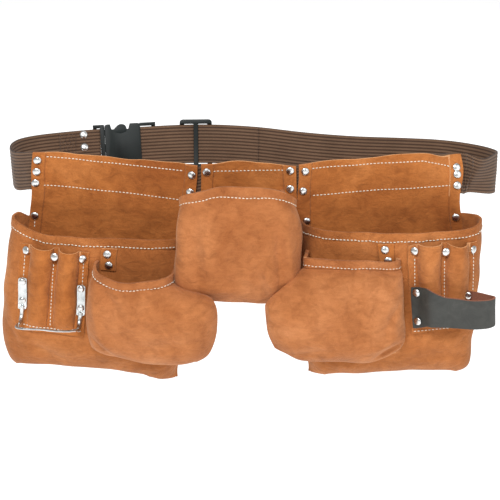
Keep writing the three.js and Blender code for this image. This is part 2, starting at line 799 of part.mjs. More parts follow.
// Rivets in the panels' hems: in from a side edge, as shares of the hem, and down, as shares of the belt
const foldFront = () => -(suede + foldExtra);
const hemRivets = [
  { name: 'rivet_left_outer_1', side: 'left', edge: -1, inset: 0.45, down: 0.2 },
  { name: 'rivet_left_outer_2', side: 'left', edge: -1, inset: 0.45, down: 0.53 },
  { name: 'rivet_left_outer_3', side: 'left', edge: -1, inset: 0.45, down: 0.83 },
  { name: 'rivet_left_inner_1', side: 'left', edge: 1, inset: 0.45, down: 0.2 },
  { name: 'rivet_left_inner_2', side: 'left', edge: 1, inset: 0.45, down: 0.63 },
  { name: 'rivet_centre_left_1', side: 'centre', edge: -1, inset: 0.45, down: 0.16 },
  { name: 'rivet_centre_right_1', side: 'centre', edge: 1, inset: 0.45, down: 0.12 },
  { name: 'rivet_centre_right_2', side: 'centre', edge: 1, inset: 0.45, down: 0.61 },
  { name: 'rivet_right_inner_1', side: 'right', edge: -1, inset: 0.45, down: 0.18 },
  { name: 'rivet_right_inner_2', side: 'right', edge: -1, inset: 0.45, down: 0.73 },
  { name: 'rivet_right_outer_1', side: 'right', edge: 1, inset: 0.52, down: 0.24 },
  { name: 'rivet_right_outer_2', side: 'right', edge: 1, inset: 0.52, down: 0.49 },
  { name: 'rivet_right_outer_3', side: 'right', edge: 1, inset: 0.52, down: 0.81 },
];
for (const rivet of hemRivets) {
  const x = rivet.edge * (panels[rivet.side].width / 2 - rivet.inset * foldWidth);
  addSurfaceRivet(rivet.side, rivet.name, { x, z: -rivet.down * beltWidth }, foldFront);
}

// Rivets just above the corners of the main pockets' mouths, as shares of the hem in and up
const mouthRivets = [
  { name: 'rivet_left_mouth', side: 'left', edge: -1, inset: 0.71, above: 0.45, top: mainTop },
  { name: 'rivet_right_mouth_inner', side: 'right', edge: -1, inset: 0.65, above: 0.26, top: rightMainTop },
  { name: 'rivet_right_mouth_outer', side: 'right', edge: 1, inset: 0.71, above: 0.39, top: rightMainTop },
];
for (const rivet of mouthRivets) {
  const x = rivet.edge * (panels[rivet.side].width / 2 - rivet.inset * foldWidth);
  addSurfaceRivet(rivet.side, rivet.name, { x, z: rivet.above * foldWidth - rivet.top }, foldFront);
}

const sleeveRivetDown = 8;
const valleyRivetDown = 10;
function addSleeveRivets(side, grid, left, top) {
  const valley = left + flangeWidth + channelWidth + valleyWidth / 2;
  const right = 2 * valley - left;
  const inset = 0.6 * flangeWidth;
  const places = [
    { x: left + inset, down: top + sleeveRivetDown },
    { x: valley, down: top + valleyRivetDown },
    { x: right - inset, down: top + sleeveRivetDown },
  ];
  places.forEach(({ x, down }, i) => {
    addSurfaceRivet(side, `rivet_${side}_sleeve_${i + 1}`, { x, z: -down }, (u, w) => frontOf(grid, u, w));
  });
}

addSleeveRivets('left', leftSleeve.outer, leftSleeveAt, sleeveTop);
addSleeveRivets('right', rightSleeve.outer, rightSleeveAt, rightSleeveTop);

const tabRivets = [
  { across: 0.42, down: 0.25 },
  { across: 0.55, down: 0.75 },
];
function addTabRivets(side, tab, at) {
  tabRivets.forEach(({ across, down }, i) => {
    const place = { x: at.x + across * tabWidth, z: -(at.down + down * tabHeight) };
    addSurfaceRivet(side, `rivet_${side}_tab_${i + 1}`, place, (u, w) => frontOf(tab.outer, u, w));
  });
}

addTabRivets('left', leftTab, leftTabAt);
addTabRivets('right', rightTab, rightTabAt);

// Belt: one open band from the male buckle half round the left end, behind the panels, round the
// right end and through the adjuster to the female half. Each place has its top edge, as shares of the
// belt's half span, its depth and its height at the back, and its lean in degrees.

const beltPlaces = [
  { x: 0.918, y: -0.48, z: 0.71, lean: 20 },
  { x: 0.984, y: -0.187, z: 0.661, lean: 8 },
  { x: 1, y: 0.08, z: 0.597, lean: 4 },
  { x: 0.937, y: 0.453, z: 0.532, lean: 12 },
  { x: 0.801, y: 0.667, z: 0.581, lean: 16 },
  { x: 0.62, y: 0.773, z: 0.6, lean: 18 },
  { x: 0.437, y: 0.853, z: 0.6, lean: 18 },
  { x: 0.228, y: 0.933, z: 0.71, lean: 18 },
  { x: 0.038, y: 0.987, z: 0.903, lean: 18 },
  { x: -0.139, y: 1, z: 1, lean: 18 },
  { x: -0.285, y: 0.987, z: 1, lean: 18 },
  { x: -0.446, y: 0.933, z: 0.952, lean: 18 },
  { x: -0.642, y: 0.827, z: 0.919, lean: 18 },
  { x: -0.759, y: 0.747, z: 0.871, lean: 16 },
  { x: -0.892, y: 0.56, z: 0.839, lean: 12 },
  { x: -0.953, y: 0.267, z: 0.855, lean: 6 },
  { x: -0.959, y: -0.027, z: 0.839, lean: 3 },
  { x: -0.937, y: -0.293, z: 0.871, lean: 2 },
];

function panelEdge(side, x) {
  const y = seatGap + webbing / 2 + (side === 'right' && x > curlStart ? twistGap : 0);
  const top = drape(side, new THREE.Vector3(x, y, -beltTopInset));
  const bottom = drape(side, new THREE.Vector3(x, y, -beltTopInset - beltWidth));
  return { top: groups[side].localToWorld(top), bottom: groups[side].localToWorld(bottom) };
}

function frontEdges() {
  const sides = ['left', 'centre', 'right'];
  return sides.flatMap((side) => panelColumns(panels[side]).map((x) => panelEdge(side, x)));
}

function freeEdges() {
  const front = frontEdges();
  const halfSpan = centrePanelWidth / 2 + sidePanelWidth + beltReach;
  const tops = beltPlaces.map((p) => new THREE.Vector3(p.x * halfSpan, p.y * beltBack, p.z * beltBackTop));
  const bottoms = beltPlaces.map((p, i) => {
    const before = tops[Math.max(i - 1, 0)];
    const after = tops[Math.min(i + 1, tops.length - 1)];
    const outward = new THREE.Vector3(after.y - before.y, before.x - after.x, 0).normalize();
    const up = new THREE.Vector3(0, 0, Math.cos(rad(p.lean))).addScaledVector(outward, Math.sin(rad(p.lean)));
    return tops[i].clone().addScaledVector(up, -beltWidth);
  });
  const through = (points, edge) => new THREE.CatmullRomCurve3(
    [front.at(-1)[edge], ...points, front[0][edge]],
    false,
    'centripetal',
  );
  const topCurve = through(tops, 'top');
  const bottomCurve = through(bottoms, 'bottom');
  const steps = Math.round(topCurve.getLength() / beltStep);
  return evenly(0, 1, steps).map((t) => ({ top: topCurve.getPoint(t), bottom: bottomCurve.getPoint(t) }));
}

// A section of the band at an edge pair: its middle, the way up and the way towards the wearer.
function sections(edges) {
  return edges.map((edge, i) => {
    const before = edges[Math.max(i - 1, 0)];
    const after = edges[Math.min(i + 1, edges.length - 1)];
    const middle = edge.top.clone().add(edge.bottom).multiplyScalar(0.5);
    const up = edge.top.clone().sub(edge.bottom).normalize();
    const along = after.top.clone().add(after.bottom).sub(before.top).sub(before.bottom).normalize();
    return { middle, up, inward: up.clone().cross(along).normalize() };
  });
}

// Cuts a list of edge pairs at an X, between the pairs on its two sides.
function edgeAt(edges, x) {
  const isPast = (k) => (edges[k].top.x - x) * (edges[k - 1].top.x - x) <= 0;
  const i = edges.findIndex((edge, k) => k > 0 && edge.top.y > 0 && isPast(k));
  const [a, b] = [edges[i - 1], edges[i]];
  const share = (x - a.top.x) / (b.top.x - a.top.x);
  const edge = { top: a.top.clone().lerp(b.top, share), bottom: a.bottom.clone().lerp(b.bottom, share) };
  return { i, edge };
}

function band(places, faceIn, faceOut) {
  const side = (offsetOf) => places.map((s, i) => [1, -1].map((edge) => {
    const p = s.middle.clone().addScaledVector(s.up, edge * beltWidth / 2);
    return p.addScaledVector(s.inward, offsetOf(i));
  }));
  return wallBetween(side(faceIn), side(faceOut));
}

const free = freeEdges();
const buckleHalf = buckleLength / 2;
const maleEntry = buckleAt - buckleHalf + barWidth + plasticGap;
const femaleEntry = buckleAt + buckleHalf - endFrameLength + 3 * plasticGap;
const doubledEnd = buckleAt - buckleHalf - doubledLength;
const atFemale = edgeAt(free, femaleEntry);
const atMale = edgeAt(free, maleEntry);
const atDoubled = edgeAt(free, doubledEnd);
const atDoubledEdge = edgeAt(free, doubledEnd - 1);
const atTail = edgeAt(free, tailEndAt);
const doubledRun = [
  atMale.edge,
  ...free.slice(atMale.i, atDoubled.i),
  atDoubled.edge,
  atDoubledEdge.edge,
];
const beltEdges = [
  ...doubledRun,
  ...free.slice(atDoubledEdge.i, -1),
  ...frontEdges(),
  ...free.slice(1, atFemale.i),
  atFemale.edge,
];
const beltSections = sections(beltEdges);
const isDoubled = (i) => i < doubledRun.length - 1;
addMesh(apron, 'belt_webbing', band(
  beltSections,
  (i) => webbing / 2 + (isDoubled(i) ? webbing : 0),
  () => -webbing / 2,
), 'webbing');

const tailEdges = [atTail.edge, ...free.slice(atTail.i, atFemale.i), atFemale.edge];
addMesh(apron, 'belt_tail', band(
  sections(tailEdges),
  () => webbing / 2 + seatGap + webbing,
  () => webbing / 2 + seatGap,
), 'webbing');

// A frame on the back of the belt, for the stiff pieces: X along the belt, Z up, -Y to the wearer.
function beltGroup(x, reach) {
  const low = edgeAt(free, x - reach).edge;
  const high = edgeAt(free, x + reach).edge;
  const middleOf = (edge) => edge.top.clone().add(edge.bottom).multiplyScalar(0.5);
  const along = middleOf(high).sub(middleOf(low)).normalize();
  const top = low.top.clone().add(high.top);
  const up = top.sub(low.bottom).sub(high.bottom).normalize();
  up.addScaledVector(along, -up.dot(along)).normalize();
  const away = up.clone().cross(along);
  const group = new THREE.Group();
  group.position.copy(middleOf(low).add(middleOf(high)).multiplyScalar(0.5));
  group.quaternion.setFromRotationMatrix(new THREE.Matrix4().makeBasis(along, away, up));
  apron.add(group);
  return group;
}

// Side-release buckle

const layers = webbing / 2 + seatGap + webbing;
const barFront = webbing / 2 + 2 * plasticGap;
const buckleTop = buckleHeight / 2;
const windowTop = beltWidth / 2 + plasticGap + plasticSeat;
const bodyFrom = buckleHalf - endFrameLength - femaleBodyLength;
const bodyTo = buckleHalf - endFrameLength;
const cutAt = bodyFrom + cutFrom;

function railsAndBar(x0, x1, barAt) {
  const rails = [1, -1].map((side) => block(
    x0,
    x1,
    -layers,
    barFront + barDepth,
    side > 0 ? windowTop : -buckleTop,
    side > 0 ? buckleTop : -windowTop,
  ));
  const bar = block(barAt, barAt + barWidth, barFront, barFront + barDepth, -buckleTop, buckleTop);
  return joined(bar, ...rails);
}

function femaleHalf() {
  const outline = roundedOutline(bodyFrom, bodyTo, -buckleTop, buckleTop, shellRadius);
  const shell = plate(outline, -buckleDepth / 2, buckleDepth / 2);
  const hollow = block(
    bodyFrom - 1,
    bodyTo - shellRadius,
    -buckleDepth / 2 + shellWall,
    buckleDepth / 2 - shellWall,
    -buckleTop + shellWall,
    buckleTop - shellWall,
  );
  const cuts = [1, -1].map((side) => {
    const oval = new THREE.Shape();
    oval.absellipse(cutAt, side * buckleTop, cutWidth, cutDepth, 0, Math.PI * 2);
    return plate(oval, -buckleDepth, buckleDepth);
  });
  const endFrame = railsAndBar(bodyTo - 0.5, buckleHalf, buckleHalf - barWidth);
  return joined(without(shell, hollow, ...cuts), endFrame);
}

function maleHalf() {
  const base = plate(
    roundedOutline(-buckleHalf + barWidth + shellRadius, bodyFrom - plasticGap, -buckleTop, buckleTop, 2),
    -buckleDepth / 2 + 1,
    buckleDepth / 2 - 1,
  );
  const armTop = buckleTop - shellWall - plasticGap;
  const thick = buckleDepth / 2 - shellWall - plasticGap;
  const root = bodyFrom - shellWall;
  const along = (share) => cutAt + share * armReach;
  const below = (share) => armTop - share * armHeight;
  const arm = new THREE.Shape();
  arm.moveTo(root, below(1));
  arm.lineTo(root, below(0.33));
  arm.lineTo(along(-0.5), below(0.33));
  arm.quadraticCurveTo(along(-0.12), below(-0.25), along(0.12), buckleTop - plasticGap);
  arm.quadraticCurveTo(along(0.5), buckleTop - plasticGap, along(0.53), below(0.33));
  arm.lineTo(along(1), below(0.67));
  arm.lineTo(along(1), below(0.92));
  arm.lineTo(along(0), below(1));
  const upper = plate(arm, -thick, thick);
  const lower = upper.mirror([0, 0, 1]);
  const guide = block(root, cutAt + cutWidth, -thick, thick, -guideHeight / 2, guideHeight / 2);
  const rails = railsAndBar(-buckleHalf, -buckleHalf + barWidth + shellRadius + 2, -buckleHalf);
  return joined(base, upper, lower, guide, rails);
}

const buckle = beltGroup(buckleAt, buckleHalf);
addMesh(buckle, 'buckle_female', closed(toGeometry(femaleHalf())), 'plastic');
addMesh(buckle, 'buckle_male', closed(toGeometry(maleHalf())), 'plastic');

// Slide adjuster: side bars behind the webbing, ears past its edges and a bar in front of it

function adjuster() {
  const half = adjusterLength / 2;
  const top = adjusterHeight / 2;
  const front = layers + plasticGap;
  const back = webbing / 2 + plasticGap;
  const opening = windowTop;
  const outline = roundedOutline(-half, half, -top, top, adjusterRadius);
  const whole = plate(outline, -front - adjusterDepth, back + adjusterDepth);
  const channel = block(-half - 1, half + 1, -front, back, -opening, opening);
  const frontWindows = [1, -1].map((side) => block(
    side > 0 ? adjusterBar / 2 : -half - 1,
    side > 0 ? half + 1 : -adjusterBar / 2,
    -front - adjusterDepth - 1,
    -front + 0.1,
    -opening,
    opening,
  ));
  const backWindow = block(
    -half + adjusterBar,
    half - adjusterBar,
    back - 0.1,
    back + adjusterDepth + 1,
    -opening,
    opening,
  );
  return without(whole, channel, backWindow, ...frontWindows);
}

const slider = beltGroup(adjusterAt, adjusterLength / 2);
addMesh(slider, 'strap_adjuster', closed(toGeometry(adjuster())), 'plastic');

// Two rivets through the doubled webbing beside the buckle
const doubledSpot = beltSections[Math.floor(doubledRun.length / 2)];
const buckleRivetHeights = [15, -1];
buckleRivetHeights.forEach((up, i) => {
  const foot = doubledSpot.middle.clone().addScaledVector(doubledSpot.up, up);
  foot.addScaledVector(doubledSpot.inward, webbing * 1.5);
  addRivet(`rivet_buckle_${i + 1}`, foot, doubledSpot.inward, apron);
});

// Hammer bracket: a bent rod with two flat tabs that are riveted to the sleeve's flanges

function bracketAt(grid, x, down) {
  return frontOf(grid, x, -down) - bracketSeat;
}

const bracketRivets = [0.2, 0.58];
function addBracket() {
  const left = leftSleeveAt + bracketInset;
  const right = left + bracketSpan;
  const top = sleeveTop + bracketTop;
  const seats = [left, right].map((x) => {
    const spots = evenly(x, x + bracketTabWidth, 6).flatMap((u) => evenly(top, top + bracketTabHeight, 8)
      .map((down) => bracketAt(leftSleeve.outer, u, down)));
    return Math.min(...spots);
  });
  const tabs = [left, right].map((x, i) => plate(
    roundedOutline(x, x + bracketTabWidth, -top - bracketTabHeight, -top, 3),
    seats[i] - bracketTabDepth,
    seats[i],
  ));
  const legX = [left + bracketTabWidth / 2, right + bracketTabWidth / 2];
  const legY = seats.map((seat) => seat - bracketTabDepth);
  const low = -top - bracketTabHeight - bracketDrop;
  const bend = rodBend;
  const reachY = Math.min(...legY) - bracketReach;
  const inwards = [1, -1];
  const leg = (i) => [
    new THREE.Vector3(legX[i], legY[i], -top - bracketTabHeight + 6),
    new THREE.Vector3(legX[i], legY[i], low + bend),
    new THREE.Vector3(legX[i], legY[i] - bend * 0.4, low + bend * 0.25),
    new THREE.Vector3(legX[i], legY[i] - bend, low),
    new THREE.Vector3(legX[i], reachY + bend, low + bend * 0.7),
    new THREE.Vector3(legX[i] + inwards[i] * bend * 0.3, reachY + bend * 0.3, low + bend),
    new THREE.Vector3(legX[i] + inwards[i] * bend, reachY, low + bend),
  ];
  const points = [...leg(0), ...leg(1).reverse()];
  const curve = new THREE.CatmullRomCurve3(points, false, 'centripetal');
  const section = new THREE.Shape();
  section.absarc(0, 0, rodRadius, 0, Math.PI * 2);
  const rod = new THREE.ExtrudeGeometry(section, {
    steps: 30,
    extrudePath: curve,
    bevelEnabled: false,
    curveSegments: 4,
  });
  const solid = joined(toSolid(rod), ...tabs);
  addMesh(groups.left, 'hammer_bracket', draped('left', closed(toGeometry(solid))), 'nickel');
  const names = ['left', 'right'];
  names.forEach((name, i) => {
    bracketRivets.forEach((share, k) => {
      const place = { x: legX[i], z: -top - share * bracketTabHeight };
      addSurfaceRivet('left', `rivet_bracket_${name}_${k + 1}`, place, () => seats[i] - bracketTabDepth);
    });
  });
}

addBracket();

// Hammer loop: a black strap riveted to the sleeve's left flange, standing out round a hammer's shaft
// at the right, and riveted again to the right flange. Each place has its share of the way
// along, its share of the reach, and its top below the sleeve's top as a share of the sleeve.

const strapLeft = rightSleeveAt + 1;
const strapRight = rightSleeveAt + sleeveWidth;
const strapPlaces = [
  { across: 0.0, out: 0.0, top: 0.438, height: loopEndHeight },
  { across: 0.1, out: 0.02, top: 0.446, height: loopEndHeight },
  { across: 0.26, out: 0.62, top: 0.491, height: loopEndHeight * 0.92 },
  { across: 0.45, out: 0.78, top: 0.554, height: loopHeight * 1.05 },
  { across: 0.7, out: 0.92, top: 0.554, height: loopHeight },
  { across: 0.95, out: 1.0, top: 0.554, height: loopHeight },
  { across: 1.18, out: 0.96, top: 0.545, height: loopHeight },
  { across: 1.28, out: 0.7, top: 0.536, height: loopHeight },
  { across: 1.22, out: 0.42, top: 0.518, height: loopHeight },
  { across: 1.06, out: 0.14, top: 0.482, height: loopHeight },
  { across: 0.98, out: 0.0, top: 0.464, height: loopHeight },
  { across: 0.88, out: 0.0, top: 0.455, height: loopHeight },
];

function addHammerLoop() {
  const width = strapRight - strapLeft;
  const front = (x, z) => frontOf(rightSleeve.outer, THREE.MathUtils.clamp(x, strapLeft, strapRight - 1), z);
  const seatOf = (x, top, height) => {
    const downs = evenly(top, top + height, 6);
    const onEnd = x > strapRight - flangeWidth;
    const from = onEnd ? strapRight - flangeWidth + 1 : x - loopSeatReach;
    const near = evenly(from, onEnd ? strapRight - 1 : x + loopSeatReach, 4);
    return Math.min(...near.flatMap((u) => downs.map((down) => front(u, -(rightSleeveTop + down)))));
  };
  const lift = loopSeat + loopWall / 2;
  const startTop = strapPlaces[0].top * sleeveHeight;
  const base = seatOf(strapLeft + flangeWidth / 3, startTop, loopEndHeight) - lift;
  const points = strapPlaces.map((s) => {
    const x = strapLeft + s.across * width;
    const isSeat = s.out < 0.05;
    const seat = isSeat ? seatOf(x, s.top * sleeveHeight, s.height) - lift : base - s.out * loopReach;
    return new THREE.Vector3(x, seat, 0);
  });
  const curve = new THREE.CatmullRomCurve3(points, false, 'centripetal');
  const count = 30;
  const plan = curve.getPoints(count);
  const valueAt = (key, i) => {
    const place = i / count * (strapPlaces.length - 1);
    const k = Math.min(Math.floor(place), strapPlaces.length - 2);
    return lerp(strapPlaces[k][key], strapPlaces[k + 1][key], place - k);
  };
  const face = (distance) => evenly(0, 1, 3).map((share) => plan.map((p, i) => {
    const along = new THREE.Vector3()
      .subVectors(plan[Math.min(i + 1, count)], plan[Math.max(i - 1, 0)])
      .normalize();
    const down = rightSleeveTop + valueAt('top', i) * sleeveHeight + share * valueAt('height', i);
    return new THREE.Vector3(p.x + along.y * distance, p.y - along.x * distance, -down);
  }));
  const outside = face(loopWall / 2);
  const inside = face(-loopWall / 2);
  const wall = wallBetween(outside, inside);
  addMesh(groups.right, 'hammer_loop', draped('right', wall), 'blackLeather');
  const startFace = outside.map((row) => row.slice(0, count / 2));
  const endFace = inside.map((row) => row.slice(-9));
  const start = strapPlaces[0];
  const end = strapPlaces.at(-1);
  const rivets = [
    { across: 0.075, share: 0.16, place: start, face: startFace },
    { across: 0.075, share: 0.84, place: start, face: startFace },
    { across: 0.945, share: 0.2, place: end, face: endFace },
    { across: 0.945, share: 0.8, place: end, face: endFace },
  ];
  rivets.forEach((rivet, i) => {
    const down = rightSleeveTop + rivet.place.top * sleeveHeight + rivet.share * rivet.place.height;
    const at = { x: strapLeft + rivet.across * width, z: -down };
    addSurfaceRivet('right', `rivet_loop_${i + 1}`, at, (u, w) => frontOf(rivet.face, u, w));
  });
}

addHammerLoop();

export default apron;
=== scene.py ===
# A suede nail apron on a ribbed belt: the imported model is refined, dressed and sewn here.
import math

import bpy
import numpy as np
from mathutils import Matrix, Vector, noise
from mathutils.bvhtree import BVHTree


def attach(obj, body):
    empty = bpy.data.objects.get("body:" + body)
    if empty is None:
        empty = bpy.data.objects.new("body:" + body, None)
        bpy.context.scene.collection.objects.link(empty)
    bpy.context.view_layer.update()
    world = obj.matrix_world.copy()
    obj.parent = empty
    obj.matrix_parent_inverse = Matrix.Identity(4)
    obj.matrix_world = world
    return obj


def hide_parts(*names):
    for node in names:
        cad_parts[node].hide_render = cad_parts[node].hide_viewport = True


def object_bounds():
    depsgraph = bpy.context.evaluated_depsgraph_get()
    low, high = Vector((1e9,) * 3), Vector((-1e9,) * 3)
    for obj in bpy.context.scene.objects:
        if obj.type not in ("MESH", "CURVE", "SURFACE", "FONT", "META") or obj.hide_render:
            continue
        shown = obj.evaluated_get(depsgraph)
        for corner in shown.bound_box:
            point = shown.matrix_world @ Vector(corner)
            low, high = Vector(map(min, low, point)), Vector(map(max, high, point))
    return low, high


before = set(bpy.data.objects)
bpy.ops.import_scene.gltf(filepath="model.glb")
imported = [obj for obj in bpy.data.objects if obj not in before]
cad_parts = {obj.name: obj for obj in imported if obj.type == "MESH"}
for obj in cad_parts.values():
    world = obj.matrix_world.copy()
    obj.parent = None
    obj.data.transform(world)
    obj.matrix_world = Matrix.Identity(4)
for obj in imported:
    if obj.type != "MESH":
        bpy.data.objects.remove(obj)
cadBox = [list(corner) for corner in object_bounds()]
millimetre = 0.001
print("frame loaded")

# The hanging leather drifts a little from its flat cut, and neighbours drift together
drift = {
    "broadSize": 0.085,
    "broadMove": 0.0034,
    "fineSize": 0.032,
    "fineMove": 0.0021,
    "fadeFrom": -0.03,   # depth where the drift starts to fade, towards the back of the belt
    "fadeTo": 0.03,
    "seed": 11,          # without a seed of its own the drift would differ from run to run
}
noise.seed_set(drift["seed"])

# Each side's own frame: the middle of the panel's top edge, with its turn and its tilt
sides = {
    "left": {"place": (-0.167, -0.053, 0.0298), "yaw": -5.0, "roll": 4.6},
    "centre": {"place": (-0.0008, -0.0624, 0.0235), "yaw": 0.0, "roll": 0.0},
    "right": {"place": (0.1652, -0.053, 0.0288), "yaw": 5.0, "roll": -1.8},
}


def sideMatrix(side):
    turn = Matrix.Rotation(math.radians(sides[side]["yaw"]), 4, "Z")
    tilt = Matrix.Rotation(math.radians(sides[side]["roll"]), 4, "Y")
    return Matrix.Translation(sides[side]["place"]) @ turn @ tilt


def deselectAll():
    if bpy.context.object and bpy.context.object.mode != "OBJECT":
        bpy.ops.object.mode_set(mode="OBJECT")
    bpy.ops.object.select_all(action="DESELECT")


def makeActive(piece):
    deselectAll()
    piece.select_set(True)
    bpy.context.view_layer.objects.active = piece


def applyModifiers(piece):
    makeActive(piece)
    for modifier in list(piece.modifiers):
        bpy.ops.object.modifier_apply(modifier=modifier.name)


merging = {"nearer": 0.00002, "faceAngle": 60, "shapeAngle": 120}


# A copy of a node's mesh as one closed shell of quads, with its doubles merged
def copyOf(node, name):
    piece = bpy.data.objects.new(name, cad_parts[node].data.copy())
    bpy.context.scene.collection.objects.link(piece)
    piece.data.materials.clear()
    makeActive(piece)
    bpy.ops.mesh.customdata_custom_splitnormals_clear()
    bpy.ops.object.mode_set(mode="EDIT")
    bpy.ops.mesh.select_all(action="SELECT")
    bpy.ops.mesh.remove_doubles(threshold=merging["nearer"])
    flat = math.radians(merging["faceAngle"])
    square = math.radians(merging["shapeAngle"])
    bpy.ops.mesh.tris_convert_to_quads(face_threshold=flat, shape_threshold=square)
    bpy.ops.mesh.normals_make_consistent(inside=False)
    bpy.ops.object.mode_set(mode="OBJECT")
    return piece


def coordinates(piece):
    flat = np.empty(len(piece.data.vertices) * 3)
    piece.data.vertices.foreach_get("co", flat)
    return flat.reshape(-1, 3)


def setCoordinates(piece, points):
    piece.data.vertices.foreach_set("co", points.ravel())
    piece.data.update()


def driftAt(point):
    p = Vector(point)
    share = (drift["fadeTo"] - p.y) / (drift["fadeTo"] - drift["fadeFrom"])
    share = min(max(share, 0.0), 1.0)
    if share == 0:
        return Vector((0, 0, 0))
    broad = noise.noise_vector(p / drift["broadSize"]) * drift["broadMove"]
    fine = noise.noise_vector(p / drift["fineSize"] + Vector((7.3, 1.9, 4.1))) * drift["fineMove"]
    return (broad + fine) * share


def addDrift(piece):
    points = coordinates(piece)
    moves = np.array([driftAt(p) for p in points])
    setCoordinates(piece, points + moves)


# The places of points on their side's flat cut, in millimetres
def flatPlaces(points, side):
    back = sideMatrix(side).inverted()
    return (points @ np.array(back.to_3x3()).T + np.array(back.translation)) / millimetre


folding = {
    "gain": 1.6,        # every fold is this much deeper than its own depth says
    "endShare": 0.12,   # a fold fades towards its ends, but not to nothing
}


# Folds are soft ridges, or dents with a negative depth, drawn on a side's flat cut in millimetres
def addFolds(piece, side, folds):
    points = coordinates(piece)
    local = flatPlaces(points, side)
    push = np.zeros(len(local))
    for fold in folds:
        start = np.array(fold["start"], float)
        end = np.array(fold["end"], float)
        run = end - start
        flat = local[:, [0, 2]] - start
        share = np.clip(flat @ run / (run @ run), 0, 1)
        away = np.linalg.norm(flat - share[:, None] * run, axis=1)
        taper = np.sin(np.pi * (folding["endShare"] + (1 - 2 * folding["endShare"]) * share))
        inFront = local[:, 1] < -fold["behind"]
        push += folding["gain"] * fold["depth"] * taper * np.exp(-((away / fold["width"]) ** 2)) * inFront
    front = np.array(sideMatrix(side).to_3x3() @ Vector((0, -1, 0)))
    setCoordinates(piece, points + push[:, None] * front * millimetre)


pullFade = 14   # a pull grows from nothing to whole over this depth, in millimetres


# Pulls move the leather around a place on a side's flat cut, as a hand would
def addPulls(piece, side, pulls):
    points = coordinates(piece)
    local = flatPlaces(points, side)
    moves = np.zeros_like(local)
    for pull in pulls:
        away = np.linalg.norm(local[:, [0, 2]] - np.array(pull["at"], float), axis=1)
        inFront = np.clip((-local[:, 1] - pull["behind"]) / pullFade, 0, 1)
        moves += (np.exp(-((away / pull["reach"]) ** 2)) * inFront)[:, None] * np.array(pull["move"], float)
    setCoordinates(piece, points + moves @ np.array(sideMatrix(side).to_3x3()).T * millimetre)


def treeOf(piece):
    bpy.context.view_layer.update()
    return BVHTree.FromObject(piece, bpy.context.evaluated_depsgraph_get())


# The slit between a sewn edge and the leather under it is nearly closed
seat = {"reach": 0.0025, "closer": 0.8}


def seatOn(piece, support):
    tree = treeOf(support)
    points = coordinates(piece)
    for i, point in enumerate(points):
        nearest = tree.find_nearest(Vector(point), seat["reach"])[0]
        if nearest is not None:
            points[i] += (np.array(nearest) - point) * seat["closer"]
    setCoordinates(piece, points)


# Selects no edge, or the sharp ones, in edge mode
def selectEdges(piece, sharperThan=None):
    makeActive(piece)
    bpy.ops.object.mode_set(mode="EDIT")
    bpy.ops.mesh.select_mode(type="EDGE")
    bpy.ops.mesh.select_all(action="DESELECT")
    if sharperThan:
        bpy.ops.mesh.edges_select_sharp(sharpness=math.radians(sharperThan))
    bpy.ops.object.mode_set(mode="OBJECT")


suedeCut = {
    "widest": 0.0026,
    "bevel": 0.0005,
    "sharp": 48,
}


# The narrow faces at cut edges and hem steps get the second material
def markCutEdges(piece):
    selectEdges(piece, suedeCut["sharp"])
    mesh = piece.data
    sharp = {tuple(sorted(edge.vertices)) for edge in mesh.edges if edge.select}
    for face in mesh.polygons:
        keys = [tuple(sorted(key)) for key in face.edge_keys]
        spans = [(mesh.vertices[a].co - mesh.vertices[b].co).length for a, b in keys]
        if sum(key in sharp for key in keys) >= 2 and min(spans) < suedeCut["widest"]:
            face.material_index = 1


def roundEdges(piece, width, angle, segments):
    rounding = piece.modifiers.new("rounding", "BEVEL")
    rounding.limit_method = "ANGLE"
    rounding.angle_limit = math.radians(angle)
    rounding.width = width
    rounding.segments = segments
    rounding.use_clamp_overlap = True


softEdge = {"angle": 42, "segments": 2}


def refine(piece, bevel, levels):
    if bevel:
        roundEdges(piece, bevel, softEdge["angle"], softEdge["segments"])
    smoothing = piece.modifiers.new("smoothing", "SUBSURF")
    smoothing.levels = levels
    smoothing.render_levels = levels
    applyModifiers(piece)
    bpy.ops.object.shade_smooth()


def keepAs(piece, nodes):
    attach(piece, "root")
    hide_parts(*nodes)
    return piece


